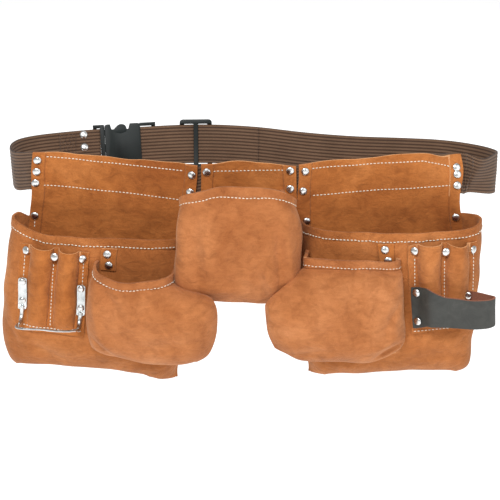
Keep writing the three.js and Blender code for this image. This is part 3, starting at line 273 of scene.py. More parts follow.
# A material with its main shader, and short helpers for the nodes that feed it
class nodeTree:
    def __init__(self, name):
        self.material = bpy.data.materials.new(name)
        self.material.use_nodes = True
        self.tree = self.material.node_tree
        self.tree.nodes.clear()
        self.shader = self.tree.nodes.new("ShaderNodeBsdfPrincipled")
        self.output = self.tree.nodes.new("ShaderNodeOutputMaterial")
        self.link(self.shader.outputs["BSDF"], self.output.inputs["Surface"])
        self.place = self.tree.nodes.new("ShaderNodeTexCoord")

    def link(self, source, target):
        self.tree.links.new(source, target)

    def set(self, **values):
        for key, value in values.items():
            self.shader.inputs[key.replace("_", " ")].default_value = value

    def noise(self, scale, detail=3.0, rough=0.55, distortion=0.0, stretch=None, source="Object"):
        node = self.tree.nodes.new("ShaderNodeTexNoise")
        node.inputs["Scale"].default_value = scale
        node.inputs["Detail"].default_value = detail
        node.inputs["Roughness"].default_value = rough
        node.inputs["Distortion"].default_value = distortion
        place = self.place.outputs[source]
        if stretch:
            mapping = self.tree.nodes.new("ShaderNodeMapping")
            mapping.inputs["Scale"].default_value = stretch
            self.link(place, mapping.inputs["Vector"])
            place = mapping.outputs["Vector"]
        self.link(place, node.inputs["Vector"])
        return node.outputs["Fac"]

    def ramp(self, source, stops):
        node = self.tree.nodes.new("ShaderNodeValToRGB")
        while len(node.color_ramp.elements) < len(stops):
            node.color_ramp.elements.new(0.5)
        for element, (at, colour) in zip(node.color_ramp.elements, stops):
            element.position = at
            element.color = (*colour, 1.0)
        self.link(source, node.inputs["Fac"])
        return node.outputs["Color"]

    def mix(self, share, first, second, kind="MIX"):
        node = self.tree.nodes.new("ShaderNodeMix")
        node.data_type = "RGBA"
        node.blend_type = kind
        self.feed(node.inputs[0], share)
        self.feed(node.inputs[6], first)
        self.feed(node.inputs[7], second)
        return node.outputs[2]

    def math(self, kind, first, second=0.0, third=0.0):
        node = self.tree.nodes.new("ShaderNodeMath")
        node.operation = kind
        for socket, value in zip(node.inputs, (first, second, third)):
            self.feed(socket, value)
        return node.outputs[0]

    def feed(self, socket, value):
        if isinstance(value, bpy.types.NodeSocket):
            self.link(value, socket)
        elif isinstance(value, tuple):
            socket.default_value = (*value, 1.0)
        else:
            socket.default_value = value

    def bump(self, height, strength, distance, before=None):
        node = self.tree.nodes.new("ShaderNodeBump")
        node.inputs["Strength"].default_value = strength
        node.inputs["Distance"].default_value = distance
        self.link(height, node.inputs["Height"])
        if before is not None:
            self.link(before, node.inputs["Normal"])
        return node.outputs["Normal"]

    def finish(self, colour, normal=None):
        self.link(colour, self.shader.inputs["Base Color"])
        if normal is not None:
            self.link(normal, self.shader.inputs["Normal"])
        return self.material


# Suede: broad stains, mottling and a fine nap with short scuffs
def suedeMaterial(name, dark, middle, light):
    nodes = nodeTree(name)
    broad = nodes.noise(11, 3, 0.6, 0.4)
    mottle = nodes.noise(70, 5, 0.65, 0.8)
    nap = nodes.noise(1300, 3, 0.7)
    scuff = nodes.noise(150, 5, 0.65, 1.4, stretch=(0.34, 0.34, 1.0))
    base = nodes.ramp(broad, [(0.34, dark), (0.52, middle), (0.7, light)])
    spotStops = [(0.3, (0.74, 0.7, 0.66)), (0.52, (1.0, 1.0, 1.0)), (0.75, (1.12, 1.15, 1.2))]
    spots = nodes.ramp(mottle, spotStops)
    fuzz = nodes.ramp(nap, [(0.3, (0.8, 0.78, 0.75)), (0.7, (1.14, 1.16, 1.2))])
    streaks = nodes.ramp(scuff, [(0.32, (0.8, 0.77, 0.74)), (0.62, (1.08, 1.09, 1.1))])
    colour = nodes.mix(0.8, base, spots, "MULTIPLY")
    colour = nodes.mix(0.7, colour, fuzz, "MULTIPLY")
    colour = nodes.mix(0.6, colour, streaks, "MULTIPLY")
    relief = nodes.bump(mottle, 0.7, 0.0026)
    relief = nodes.bump(scuff, 0.5, 0.0013, relief)
    relief = nodes.bump(nap, 0.45, 0.0005, relief)
    nodes.set(Roughness=0.94, Sheen_Weight=0.22, Sheen_Roughness=0.45, Specular_IOR_Level=0.2)
    nodes.shader.inputs["Sheen Tint"].default_value = (1.0, 0.72, 0.5, 1.0)
    return nodes.finish(colour, relief)


def cutSuedeMaterial():
    nodes = nodeTree("cutSuede")
    fibres = nodes.noise(900, 4, 0.7)
    colour = nodes.ramp(fibres, [(0.3, (0.44, 0.18, 0.066)), (0.7, (0.72, 0.38, 0.18))])
    nodes.set(Roughness=0.95, Specular_IOR_Level=0.2)
    return nodes.finish(colour, nodes.bump(fibres, 0.5, 0.0005))


# Webbing: the pattern follows the belt, with U in metres along it and V from edge to edge
webbingLook = {"ribs": 12, "pick": 0.0016}


def webbingMaterial():
    nodes = nodeTree("ribbedWebbing")
    split = nodes.tree.nodes.new("ShaderNodeSeparateXYZ")
    nodes.link(nodes.place.outputs["UV"], split.inputs[0])
    along, across = split.outputs["X"], split.outputs["Y"]
    ribPhase = nodes.math("MULTIPLY", across, webbingLook["ribs"] * 2 * math.pi)
    rib = nodes.math("COSINE", ribPhase)
    ribShare = nodes.math("MULTIPLY_ADD", rib, -0.5, 0.5)
    halfRow = nodes.math("SIGN", nodes.math("SINE", ribPhase))
    pickPhase = nodes.math("MULTIPLY", along, 2 * math.pi / webbingLook["pick"])
    pick = nodes.math("SINE", nodes.math("MULTIPLY_ADD", halfRow, math.pi / 2, pickPhase))
    pickShare = nodes.math("MULTIPLY_ADD", pick, 0.5, 0.5)
    wear = nodes.noise(26, 4, 0.6)
    fuzz = nodes.noise(1500, 3, 0.7)
    # The webbing's own brown across each rib, with painted shade darkening it into the grooves between the
    # ribs
    ribToneGrooveShadeStops = [(0.0, (0.042, 0.021, 0.012)), (0.45, (0.125, 0.071, 0.041)), (1.0, (0.17, 0.101, 0.061))]
    ribToneGrooveShade = nodes.ramp(ribShare, ribToneGrooveShadeStops)
    threads = nodes.ramp(pickShare, [(0.0, (0.72, 0.7, 0.68)), (1.0, (1.12, 1.12, 1.12))])
    tone = nodes.ramp(wear, [(0.35, (0.86, 0.84, 0.82)), (0.65, (1.1, 1.1, 1.1))])
    colour = nodes.mix(0.85, ribToneGrooveShade, threads, "MULTIPLY")
    colour = nodes.mix(0.8, colour, tone, "MULTIPLY")
    relief = nodes.bump(pickShare, 0.5, 0.0004)
    relief = nodes.bump(fuzz, 0.3, 0.0003, relief)
    nodes.set(Roughness=0.82, Sheen_Weight=0.12, Sheen_Roughness=0.5, Specular_IOR_Level=0.3)
    return nodes.finish(colour, relief)


def plasticMaterial():
    nodes = nodeTree("mouldedPlastic")
    grain = nodes.noise(1100, 3, 0.6)
    cloud = nodes.noise(40, 3, 0.5)
    colour = nodes.ramp(cloud, [(0.3, (0.002, 0.0045, 0.0042)), (0.7, (0.005, 0.01, 0.0095))])
    shine = nodes.math("MULTIPLY_ADD", cloud, 0.25, 0.36)
    nodes.link(shine, nodes.shader.inputs["Roughness"])
    nodes.set(Specular_IOR_Level=0.3)
    return nodes.finish(colour, nodes.bump(grain, 0.12, 0.0002))


def metalMaterial(name, dark, light, rough, grainScale, stretch=None):
    nodes = nodeTree(name)
    haze = nodes.noise(120, 4, 0.6)
    grain = nodes.noise(grainScale, 3, 0.6, stretch=stretch)
    colour = nodes.ramp(haze, [(0.3, dark), (0.65, light)])
    shine = nodes.math("MULTIPLY_ADD", haze, 0.2, rough)
    nodes.link(shine, nodes.shader.inputs["Roughness"])
    nodes.set(Metallic=1.0)
    return nodes.finish(colour, nodes.bump(grain, 0.1, 0.0002))


def blackLeatherMaterial():
    nodes = nodeTree("blackLeather")
    pores = nodes.noise(1500, 4, 0.65)
    wear = nodes.noise(55, 5, 0.7, 0.6)
    wearStops = [(0.3, (0.026, 0.027, 0.024)), (0.6, (0.043, 0.044, 0.039)), (0.82, (0.075, 0.074, 0.066))]
    colour = nodes.ramp(wear, wearStops)
    nodes.set(Roughness=0.55, Specular_IOR_Level=0.4)
    relief = nodes.bump(pores, 0.25, 0.0004)
    return nodes.finish(colour, nodes.bump(wear, 0.15, 0.001, relief))


def brownCutMaterial():
    nodes = nodeTree("brownCut")
    fibres = nodes.noise(800, 4, 0.7)
    colour = nodes.ramp(fibres, [(0.3, (0.16, 0.055, 0.03)), (0.7, (0.33, 0.13, 0.075))])
    nodes.set(Roughness=0.85)
    return nodes.finish(colour, nodes.bump(fibres, 0.4, 0.0004))


def threadMaterial(name, dark, light):
    nodes = nodeTree(name)
    ply = nodes.noise(1800, 2, 0.5)
    colour = nodes.ramp(ply, [(0.3, dark), (0.65, light)])
    nodes.set(Roughness=0.7)
    return nodes.finish(colour, nodes.bump(ply, 0.4, 0.0003))


# Three cuts of the same suede: its dark, middle and light tones
panelTones = ((0.295, 0.087, 0.019), (0.4, 0.13, 0.03), (0.48, 0.17, 0.045))
pocketTones = ((0.31, 0.098, 0.024), (0.405, 0.138, 0.038), (0.485, 0.18, 0.056))
pouchTones = ((0.325, 0.106, 0.031), (0.415, 0.149, 0.049), (0.485, 0.19, 0.071))
# Brushed metal is grained across, so its pattern is long one way
brushed = (1.0, 1.0, 0.1)

materials = {
    "panel": suedeMaterial("suedePanel", *panelTones),
    "pocket": suedeMaterial("suedePocket", *pocketTones),
    "pouch": suedeMaterial("suedePouch", *pouchTones),
    "cutSuede": cutSuedeMaterial(),
    "webbing": webbingMaterial(),
    "plastic": plasticMaterial(),
    "nickel": metalMaterial("nickelPlate", (0.56, 0.57, 0.56), (0.8, 0.81, 0.8), 0.17, 700),
    "steel": metalMaterial("brightSteel", (0.44, 0.47, 0.47), (0.68, 0.7, 0.7), 0.2, 500, brushed),
    "blackLeather": blackLeatherMaterial(),
    "brownCut": brownCutMaterial(),
    "thread": threadMaterial("waxedThread", (0.56, 0.5, 0.4), (0.86, 0.8, 0.69)),
    "brownThread": threadMaterial("brownThread", (0.05, 0.028, 0.018), (0.11, 0.066, 0.043)),
}
print("materials ready")

# Panels, pockets, pouches, sleeves and tabs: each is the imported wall, rounded, pulled, folded and drifted.
# All places are in millimetres on the side's flat cut
everywhere = -20   # a fold or a pull with this behind moves the whole wall


# A fold runs from its start to its end, and leaves out what is nearer to the flat cut than behind
def fold(start, end, width, depth, behind=12):
    return {"start": start, "end": end, "width": width, "depth": depth, "behind": behind}


# A pull is whole at its place, fades over its reach, and starts this far in front of the flat cut
def pull(at, reach, move, behind=6):
    return {"at": at, "reach": reach, "move": move, "behind": behind}


# The lower corners of a side's panel and of its pocket are pulled together
leftCorners = [
    pull((-106, -272), 24, (-4, 0, -7), everywhere),
    pull((104, -272), 24, (-6, 0, -9), everywhere),
]
rightCorners = [
    pull((104, -270), 26, (4, 0, -8), everywhere),
    pull((-104, -272), 22, (6, 0, -6), everywhere),
]

suedePieces = [
    {
        "node": "left_back_panel", "name": "suede_back_left",
        "side": "left", "finish": "panel", "levels": 2,
        "folds": [
            fold((-20, -58), (30, -92), 16, -1.4, everywhere),
            fold((35, -75), (80, -60), 13, 1.3, everywhere),
        ],
        "pulls": [
            pull((78, 0), 30, (0, 0, 2.2), everywhere),
            *leftCorners,
        ],
    },
    {
        "node": "centre_panel", "name": "suede_back_centre",
        "side": "centre", "finish": "panel", "levels": 2,
        "pulls": [
            pull((60, -60), 34, (2.2, 0, 0), everywhere),
            pull((-22, 4), 34, (0, 0, 3), everywhere),
        ],
    },
    {
        "node": "right_back_panel", "name": "suede_back_right",
        "side": "right", "finish": "panel", "levels": 2,
        "folds": [
            fold((-60, -60), (10, -72), 14, 1.2, everywhere),
            fold((40, -58), (82, -66), 8, -1.3, everywhere),
        ],
        "pulls": [
            pull((-108, -80), 50, (-5, 0, 0), everywhere),
            pull((94, 4), 22, (0, 0, -13), everywhere),
            pull((104, 6), 13, (-2, 0, -10), everywhere),
            pull((106, -62), 22, (-4.5, 0, 0), everywhere),
            pull((34, 4), 44, (0, 0, 2.5), everywhere),
            *rightCorners,
        ],
    },
    {
        "node": "left_main_pocket", "name": "suede_pocket_left", "on": "left_back_panel",
        "side": "left", "finish": "pocket", "levels": 3,
        "folds": [
            fold((-118, -180), (-80, -262), 9, 2.0),
            fold((-60, -232), (40, -250), 12, 1.8),
            fold((-100, -232), (-40, -258), 8, -1.6),
            fold((30, -262), (90, -240), 9, -1.6),
        ],
        "pulls": [
            pull((-112, -86), 26, (-1.5, 0, 9)),
            *leftCorners,
        ],
    },
    {
        "node": "right_main_pocket", "name": "suede_pocket_right", "on": "right_back_panel",
        "side": "right", "finish": "pocket", "levels": 3,
        "folds": [
            fold((40, -228), (105, -212), 11, 1.8),
            fold((20, -250), (90, -246), 9, -1.5),
            fold((-90, -250), (-40, -262), 8, 1.4),
            fold((-70, -92), (-10, -84), 8, 1.0),
        ],
        "pulls": [
            *rightCorners,
            pull((-108, -130), 60, (-3.5, 0, 0), everywhere),
            pull((118, -84), 24, (2.5, 0, 3)),
            pull((112, -110), 36, (1.2, 0, 0)),
        ],
    },
    {
        "node": "left_small_pouch", "name": "suede_pouch_left", "on": "left_main_pocket",
        "side": "left", "finish": "pouch", "levels": 3,
        "folds": [
            fold((-10, -140), (12, -205), 9, 3.4),
            fold((4, -130), (30, -160), 7, -3.0),
            fold((-6, -196), (26, -236), 6, -4.2),
            fold((-14, -214), (8, -236), 5, 2.6),
            fold((20, -176), (90, -150), 12, 2.6),
            fold((50, -204), (120, -190), 11, -2.8),
        ],
        "pulls": [
            pull((118, -156), 26, (15, 0, 8)),
        ],
    },
    {
        "node": "right_small_pouch", "name": "suede_pouch_right", "on": "right_main_pocket",
        "side": "right", "finish": "pouch", "levels": 3,
        "folds": [
            fold((10, -206), (-26, -226), 4.5, -5.0),
            fold((2, -196), (-30, -210), 5, 3.2),
            fold((10, -188), (-14, -170), 6, 2.6),
            fold((6, -150), (-12, -184), 6, -3.2),
            fold((-60, -130), (-110, -170), 13, 2.6),
            fold((-50, -150), (-40, -200), 12, -1.8),
            fold((12, -122), (-16, -140), 5, 2.2),
            fold((-130, -214), (-84, -206), 8, -3.0),
        ],
        "pulls": [
            pull((-94, -104), 30, (-14, 0, 0)),
            pull((-140, -154), 18, (-5, 0, 4)),
            pull((-2, -212), 20, (5, 0, 0)),
            pull((-40, -226), 34, (0, 0, -5)),
        ],
    },
    {
        "node": "centre_pouch", "name": "suede_pouch_centre", "on": "centre_panel",
        "side": "centre", "finish": "pouch", "levels": 3,
        "folds": [
            fold((46, -40), (60, -128), 6, 3.4),
            fold((36, -50), (44, -136), 6, -3.0),
            fold((20, -96), (34, -146), 7, 2.6),
            fold((10, -110), (16, -146), 6, -2.2),
            fold((-60, -132), (-10, -138), 9, 2.4),
            fold((-66, -50), (-60, -128), 8, -2.4),
            fold((-52, -60), (-46, -120), 9, 2.2),
            fold((-30, -60), (20, -70), 16, 1.6),
        ],
        "pulls": [
            pull((-62, -126), 32, (-9, 0, -6)),
            pull((0, -142), 50, (0, 0, -6)),
            pull((66, -40), 34, (4, 0, 0), -8),
            pull((54, -132), 24, (6, 0, -3)),
        ],
    },
    {
        "node": "left_tool_sleeve", "name": "suede_sleeve_left",
        "side": "left", "finish": "panel", "levels": 2,
        "folds": [
            fold((-72, -112), (-70, -180), 7, 1.2),
            fold((-40, -116), (-36, -170), 7, 1.2),
        ],
    },
    {
        "node": "right_tool_sleeve", "name": "suede_sleeve_right",
        "side": "right", "finish": "pocket", "levels": 2,
        "folds": [
            fold((56, -106), (44, -132), 6, 1.3),
            fold((86, -104), (84, -150), 5, 1.2),
        ],
        "pulls": [
            pull((44, -104), 34, (0, 0, 5.5)),
        ],
    },
    {
        "node": "left_pouch_tab", "name": "suede_tab_left",
        "side": "left", "finish": "panel", "levels": 2,
    },
    {
        "node": "right_pouch_tab", "name": "suede_tab_right",
        "side": "right", "finish": "panel", "levels": 2,
    },
]
leather = {}


def addSuede(entry):
    piece = copyOf(entry["node"], entry["name"])
    piece.data.materials.append(materials[entry["finish"]])
    piece.data.materials.append(materials["cutSuede"])
    markCutEdges(piece)
    refine(piece, suedeCut["bevel"], entry["levels"])
    addPulls(piece, entry["side"], entry.get("pulls", []))
    addFolds(piece, entry["side"], entry.get("folds", []))
    addDrift(piece)
    if "on" in entry:
        seatOn(piece, leather[entry["on"]])
    keepAs(piece, [entry["node"]])
    leather[entry["node"]] = piece


for entry in suedePieces:
    addSuede(entry)
print("suede pieces ready")

# Belt: each band gets its pattern's U and V from a walk along its rings, and then its ribs
beltLook = {
    "ribs": 12,
    "rowsPerRib": 4,
    "ribDepth": 0.00042,
    "smoothing": 2,
    "sharp": 50,
    "bendFrom": 0.262,             # the right bend's lower edge is moved from here on, in full after the run
    "bendRun": 0.04,
    "bendMove": (0.003, 0, -0.0045),
    "intoBuckle": 0.0036,
    "longStart": -0.1972,          # where each band's walk starts, left to right
    "freeStart": -0.1402,
}


# The band's cross sections in order, four corners each, from the one nearest to startX
def ringsOf(mesh, startX):
    near = {v.index: set() for v in mesh.vertices}
    for edge in mesh.edges:
        a, b = edge.vertices
        near[a].add(b)
        near[b].add(a)
    atBack = [v for v in mesh.vertices if v.co.y > 0]
    first = {v.index for v in sorted(atBack, key=lambda v: abs(v.co.x - startX))[:4]}
    rings = [first]
    seen = set(first)
    while True:
        following = {other for index in rings[-1] for other in near[index]} - seen
        if not following:
            return rings
        rings.append(following)
        seen |= following


def addBand(node, name, startX, atStart, atEnd):
    piece = copyOf(node, name)
    mesh = piece.data
    rings = ringsOf(mesh, startX)
    centres = [sum((mesh.vertices[i].co for i in ring), Vector()) / len(ring) for ring in rings]
    for end, before, reach in ((0, 1, atStart), (-1, -2, atEnd)):
        move = (centres[end] - centres[before]).normalized() * reach
        for index in rings[end]:
            mesh.vertices[index].co += move
    shapeBand(mesh, rings, centres)
    lengthAt = {}
    topOf = {}
    reached = 0.0
    for k, ring in enumerate(rings):
        reached += (centres[k] - centres[k - 1]).length if k else 0.0
        for index in ring:
            lengthAt[index] = reached
            topOf[index] = 1.0 if mesh.vertices[index].co.z > centres[k].z else 0.0
    layer = mesh.uv_layers.new(name="alongBelt") if not mesh.uv_layers else mesh.uv_layers[0]
    for loop in mesh.loops:
        layer.data[loop.index].uv = (lengthAt[loop.vertex_index], topOf[loop.vertex_index])
    print(name, "length in metres", round(reached, 4), "rings", len(rings))
    selectEdges(piece, beltLook["sharp"])
    bpy.ops.object.mode_set(mode="EDIT")
    bpy.ops.transform.edge_crease(value=1.0)
    bpy.ops.object.mode_set(mode="OBJECT")
    refine(piece, 0, beltLook["smoothing"])
    addRibs(piece)
    piece.data.materials.append(materials["webbing"])
    addDrift(piece)
    return keepAs(piece, [node])


# At its right bend the belt hangs a little lower and fuller, as in the photo
def shapeBand(mesh, rings, centres):
    for ring, centre in zip(rings, centres):
        share = min(max((centre.x - beltLook["bendFrom"]) / beltLook["bendRun"], 0), 1)
        for index in ring:
            vertex = mesh.vertices[index]
            if vertex.co.z < centre.z:
                vertex.co += Vector(beltLook["bendMove"]) * share


# How far across the belt each of its places is, from 0 to 1
def acrossOf(mesh):
    layer = mesh.uv_layers[0]
    vOf = {}
    for loop in mesh.loops:
        vOf.setdefault(loop.vertex_index, layer.data[loop.index].uv[1])
    return vOf


# Rows across the belt for its ribs, raised along the faces of the band
def addRibs(piece):
    vOf = acrossOf(piece.data)
    selectEdges(piece)
    mesh = piece.data
    steps = 2 ** beltLook["smoothing"]
    for edge in mesh.edges:
        a, b = edge.vertices
        edge.select = abs(vOf[a] - vOf[b]) > 0.6 / steps
    bpy.ops.object.mode_set(mode="EDIT")
    cuts = beltLook["ribs"] * beltLook["rowsPerRib"] // steps - 1
    bpy.ops.mesh.subdivide(number_cuts=cuts, quadcorner="INNERVERT")
    bpy.ops.object.mode_set(mode="OBJECT")
    mesh = piece.data
    vOf = acrossOf(mesh)
    points = coordinates(piece)
    normals = np.array([v.normal for v in mesh.vertices])
    shares = np.array([vOf.get(i, 0.0) for i in range(len(points))])
    rise = 0.5 - 0.5 * np.cos(shares * beltLook["ribs"] * 2 * np.pi)
    setCoordinates(piece, points - normals * ((1 - rise) * beltLook["ribDepth"])[:, None])
    bpy.ops.object.shade_smooth()


intoBuckle = beltLook["intoBuckle"]
belt = addBand("belt_webbing", "belt_long", beltLook["longStart"], intoBuckle, intoBuckle)
addBand("belt_tail", "belt_free_end", beltLook["freeStart"], intoBuckle, 0.0)
print("belt ready")

# Plastic: the buckle's halves and the adjuster with their moulded edges rounded
plasticPieces = [
    {"node": "buckle_female", "name": "buckle_socket", "bevel": 0.0009},
    {"node": "buckle_male", "name": "buckle_prongs", "bevel": 0.0007},
    {"node": "strap_adjuster", "name": "adjuster_slide", "bevel": 0.0008},
]
plasticEdge = {"flat": 1, "angle": 32, "segments": 3, "smoothUnder": 38}


def addPlastic(entry):
    piece = copyOf(entry["node"], entry["name"])
    makeActive(piece)
    bpy.ops.object.mode_set(mode="EDIT")
    bpy.ops.mesh.select_all(action="SELECT")
    bpy.ops.mesh.dissolve_limited(angle_limit=math.radians(plasticEdge["flat"]))
    bpy.ops.object.mode_set(mode="OBJECT")
    roundEdges(piece, entry["bevel"], plasticEdge["angle"], plasticEdge["segments"])
    applyModifiers(piece)
    bpy.ops.object.shade_smooth_by_angle(angle=math.radians(plasticEdge["smoothUnder"]))
    piece.data.materials.append(materials["plastic"])
    keepAs(piece, [entry["node"]])


for entry in plasticPieces:
    addPlastic(entry)
print("plastic ready")

# Bracket: one bright rod whose flattened tabs are riveted to the sleeve
bracketLook = {
    "tabMiddles": (-96.5, -22.5),
    "tabTop": -142,
    "tabFoot": -178,
    "tabReach": 8,
    "widen": 1.12,
    "smoothUnder": 42,
    "heights": (-210, -201, -195, -175, -162.4, -151, -140),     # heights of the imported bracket
    "longer": (-212, -203.5, -195, -184.5, -173, -148.5, -140),  # and where its longer tabs reach
    "barLong": 0.03,                                             # edges longer than this are cut
    "barCuts": 12,
}


def bracketMove(point):
    matrix = sideMatrix("left")
    local = matrix.inverted() @ Vector(point) / millimetre
    middle = min(bracketLook["tabMiddles"], key=lambda x: abs(x - local.x))
    onTab = abs(local.x - middle) < bracketLook["tabReach"]
    if onTab and bracketLook["tabFoot"] < local.z < bracketLook["tabTop"]:
        local.x = middle + (local.x - middle) * bracketLook["widen"]
    local.z = np.interp(local.z, bracketLook["heights"], bracketLook["longer"])
    return matrix @ (local * millimetre)


# The long bar gets places along it, so that it follows the drift of the leather
def cutLongEdges(piece):
    selectEdges(piece)
    mesh = piece.data
    for edge in mesh.edges:
        a, b = edge.vertices
        edge.select = (mesh.vertices[a].co - mesh.vertices[b].co).length > bracketLook["barLong"]
    bpy.ops.object.mode_set(mode="EDIT")
    bpy.ops.mesh.subdivide(number_cuts=bracketLook["barCuts"])
    bpy.ops.object.mode_set(mode="OBJECT")


def addBracketPiece():
    piece = copyOf("hammer_bracket", "bracket_rod")
    for vertex in piece.data.vertices:
        vertex.co = bracketMove(vertex.co)
    cutLongEdges(piece)
    makeActive(piece)
    bpy.ops.object.shade_smooth_by_angle(angle=math.radians(bracketLook["smoothUnder"]))
    piece.data.materials.append(materials["steel"])
    addDrift(piece)
    keepAs(piece, ["hammer_bracket"])


addBracketPiece()

# Hammer loop: firm black leather with brown cut edges
loopLook = {
    "edgeTilt": 0.75,
    "bevel": 0.0004,
    "levels": 2,
    "bendFrom": 0.238,   # from here to the right the loop is drawn in and its front is held out
    "bendTo": 0.317,
    "drawIn": 0.0125,
    "holdOut": 0.015,
    "back": -0.1,
    "front": -0.14,
    "lift": 0.0095,      # the front is higher and the back end lower than packed
    "liftRight": -0.001,
    "lowerBack": 0.0125,
    "narrow": 0.09,      # the right end is this share narrower
    "middle": (0.285, -0.14, -0.14),
}


# The loop's ends lie on the sleeve and its front stands out: what is farther out is moved more
def loopMove(point):
    x, y, z = point
    share = min(max((x - loopLook["bendFrom"]) / (loopLook["bendTo"] - loopLook["bendFrom"]), 0), 1)
    forward = min(max((loopLook["back"] - y) / (loopLook["back"] - loopLook["front"]), 0), 1)
    x -= share * loopLook["drawIn"]
    y -= share ** 2 * math.sqrt(forward) * loopLook["holdOut"]
    z -= (z - loopLook["middle"][2]) * share * loopLook["narrow"]
    z += forward * (loopLook["lift"] + share * loopLook["liftRight"])
    z -= (1 - forward) * loopLook["lowerBack"]
    return Vector((x, y, z))


# The brown flesh side of the leather faces the middle of the loop
def isInside(face):
    inward = Vector(loopLook["middle"]) - face.center
    return face.normal.x * inward.x + face.normal.y * inward.y > 0


def addLoopPiece():
    piece = copyOf("hammer_loop", "strap_loop")
    piece.data.materials.append(materials["blackLeather"])
    piece.data.materials.append(materials["brownCut"])
    for face in piece.data.polygons:
        isEdge = abs(face.normal.z) > loopLook["edgeTilt"]
        face.material_index = 1 if isEdge or isInside(face) else 0
    refine(piece, loopLook["bevel"], loopLook["levels"])
    for vertex in piece.data.vertices:
        vertex.co = loopMove(vertex.co)
    addDrift(piece)
    keepAs(piece, ["hammer_loop"])


addLoopPiece()
print("bracket and loop ready")

# Rivets: one domed cap is made by hand and copied to each rivet's place and direction
rivetLook = {
    "radius": 0.0051,
    "corners": 24,
    "edge": 0.0005,
    "height": 0.0019,
    "peak": 0.0001,
    "steps": 6,
    "rim": 0.84,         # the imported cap's rim is what lies farther out than this share of its radius
    "onBracket": 0.84,   # size of the bracket's rivets beside the others
}

# Places where the photo shows a rivet a little beside its packed place, in metres
rivetNudges = {
    "rivet_left_mouth": (-0.0045, 0, -0.008),
    "rivet_left_outer_3": (-0.0015, 0, 0),
    "rivet_right_mouth_inner": (-0.0035, 0, -0.004),
    "rivet_right_inner_2": (-0.0025, 0, 0),
    "rivet_right_outer_1": (0, 0, -0.005),
    "rivet_right_outer_2": (0, 0, -0.0015),
    "rivet_right_mouth_outer": (0.0025, 0, -0.0135),
    "rivet_right_sleeve_1": (0, 0, 0.0055),
    "rivet_right_sleeve_2": (-0.001, 0, 0.0045),
    "rivet_buckle_1": (0.0165, 0, 0.005),
    "rivet_buckle_2": (0.0165, 0, 0.0048),
}


def makeCap():
    deselectAll()
    corners = rivetLook["corners"]
    bpy.ops.mesh.primitive_circle_add(vertices=corners, radius=rivetLook["radius"], fill_type="NGON")
    cap = bpy.context.object
    cap.name = "cap_pattern"
    bpy.ops.object.mode_set(mode="EDIT")
    bpy.ops.mesh.select_mode(type="FACE")
    bpy.ops.mesh.select_all(action="SELECT")
    bpy.ops.mesh.extrude_region_move(TRANSFORM_OT_translate={"value": (0, 0, rivetLook["edge"])})
    turns = [math.pi / 2 * k / rivetLook["steps"] for k in range(rivetLook["steps"])]
    for low, high in zip(turns, turns[1:]):
        rise = (math.sin(high) - math.sin(low)) * rivetLook["height"]
        bpy.ops.mesh.extrude_region_move(TRANSFORM_OT_translate={"value": (0, 0, rise)})
        share = math.cos(high) / math.cos(low)
        bpy.ops.transform.resize(value=(share, share, 1))
    bpy.ops.mesh.poke(offset=rivetLook["peak"])
    bpy.ops.mesh.select_all(action="SELECT")
    bpy.ops.mesh.normals_make_consistent(inside=False)
    bpy.ops.object.mode_set(mode="OBJECT")
    bpy.ops.object.shade_smooth()
    return cap


# The two rivets beside the buckle are seated on the belt by looking at it from in front
def onBelt(foot):
    return beltTree.ray_cast(Vector((foot.x, 0, foot.z)), Vector((0, 1, 0)))[:2]


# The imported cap's rim gives the new one its place, and the way from its rim to its dome gives the direction
def addCap(pattern, node):
    points = np.array([v.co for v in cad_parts[node].data.vertices])
    points = np.unique(points.round(6), axis=0)
    centre = points.mean(0)
    axis = np.linalg.svd(points - centre)[2][-1]
    away = (points - centre) @ axis
    spread = np.linalg.norm((points - centre) - away[:, None] * axis, axis=1)
    rim = spread > rivetLook["rim"] * spread.max()
    base = away[rim].mean()
    axis = axis if base < 0 else -axis
    foot = points[rim].mean(0)
    if "bracket" in node:
        foot = bracketMove(foot)
    if "loop" in node:
        foot = loopMove(foot)
    foot = Vector(foot) + Vector(rivetNudges.get(node, (0, 0, 0)))
    turn = Vector((0, 0, 1)).rotation_difference(Vector(axis)).to_matrix().to_4x4()
    place = foot + driftAt(foot)
    if "buckle" in node:
        place, axis = onBelt(foot)
        turn = Vector((0, 0, 1)).rotation_difference(axis).to_matrix().to_4x4()
    size = rivetLook["onBracket"] if "bracket" in node else 1.0
    cap = bpy.data.objects.new("cap_" + node, pattern.data.copy())
    bpy.context.scene.collection.objects.link(cap)
    cap.data.transform(Matrix.Translation(place) @ turn @ Matrix.Scale(size, 4))
    cap.data.materials.append(materials["nickel"])
    keepAs(cap, [node])


beltTree = treeOf(belt)
capPattern = makeCap()
rivets = [node for node in sorted(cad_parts) if node.startswith("rivet")]
for node in rivets:
    addCap(capPattern, node)
bpy.data.objects.remove(capPattern)
print("rivets ready", len(rivets))

# Stitches: one thread pattern laid along each seam, seated on the leather by looking at it from in front
stitchLook = {
    "pitch": 0.0045,
    "length": 0.0032,
    "thick": 0.00125,
    "rise": 0.28,       # share of its thickness that a stitch stands off the leather
    "sunk": 0.0001,
    "reach": 0.0012,    # how far before and after a stitch its direction is read
    "jump": 0.009,
    "fewest": 3,        # a part of a seam with no more looks than this is left out
    "lookFrom": -260.0,
    "lookStep": 3.0,
}


def makeStitch():
    deselectAll()
    bpy.ops.mesh.primitive_uv_sphere_add(segments=8, ring_count=6, radius=0.5)
    stitch = bpy.context.object
    stitch.data.transform(Matrix.Rotation(math.radians(90), 4, "Y"))
    size = Matrix.Diagonal((stitchLook["length"], stitchLook["thick"], stitchLook["thick"], 1))
    stitch.data.transform(size)
    return stitch


# Looks at a place on a side's flat cut from in front, and gives where it meets the leather
def lookAt(tree, side, x, z):
    matrix = sideMatrix(side)
    start = matrix @ (Vector((x, stitchLook["lookFrom"], z)) * millimetre)
    place, normal = tree.ray_cast(start, matrix.to_3x3() @ Vector((0, 1, 0)))[:2]
    return (place, normal) if place is not None else None


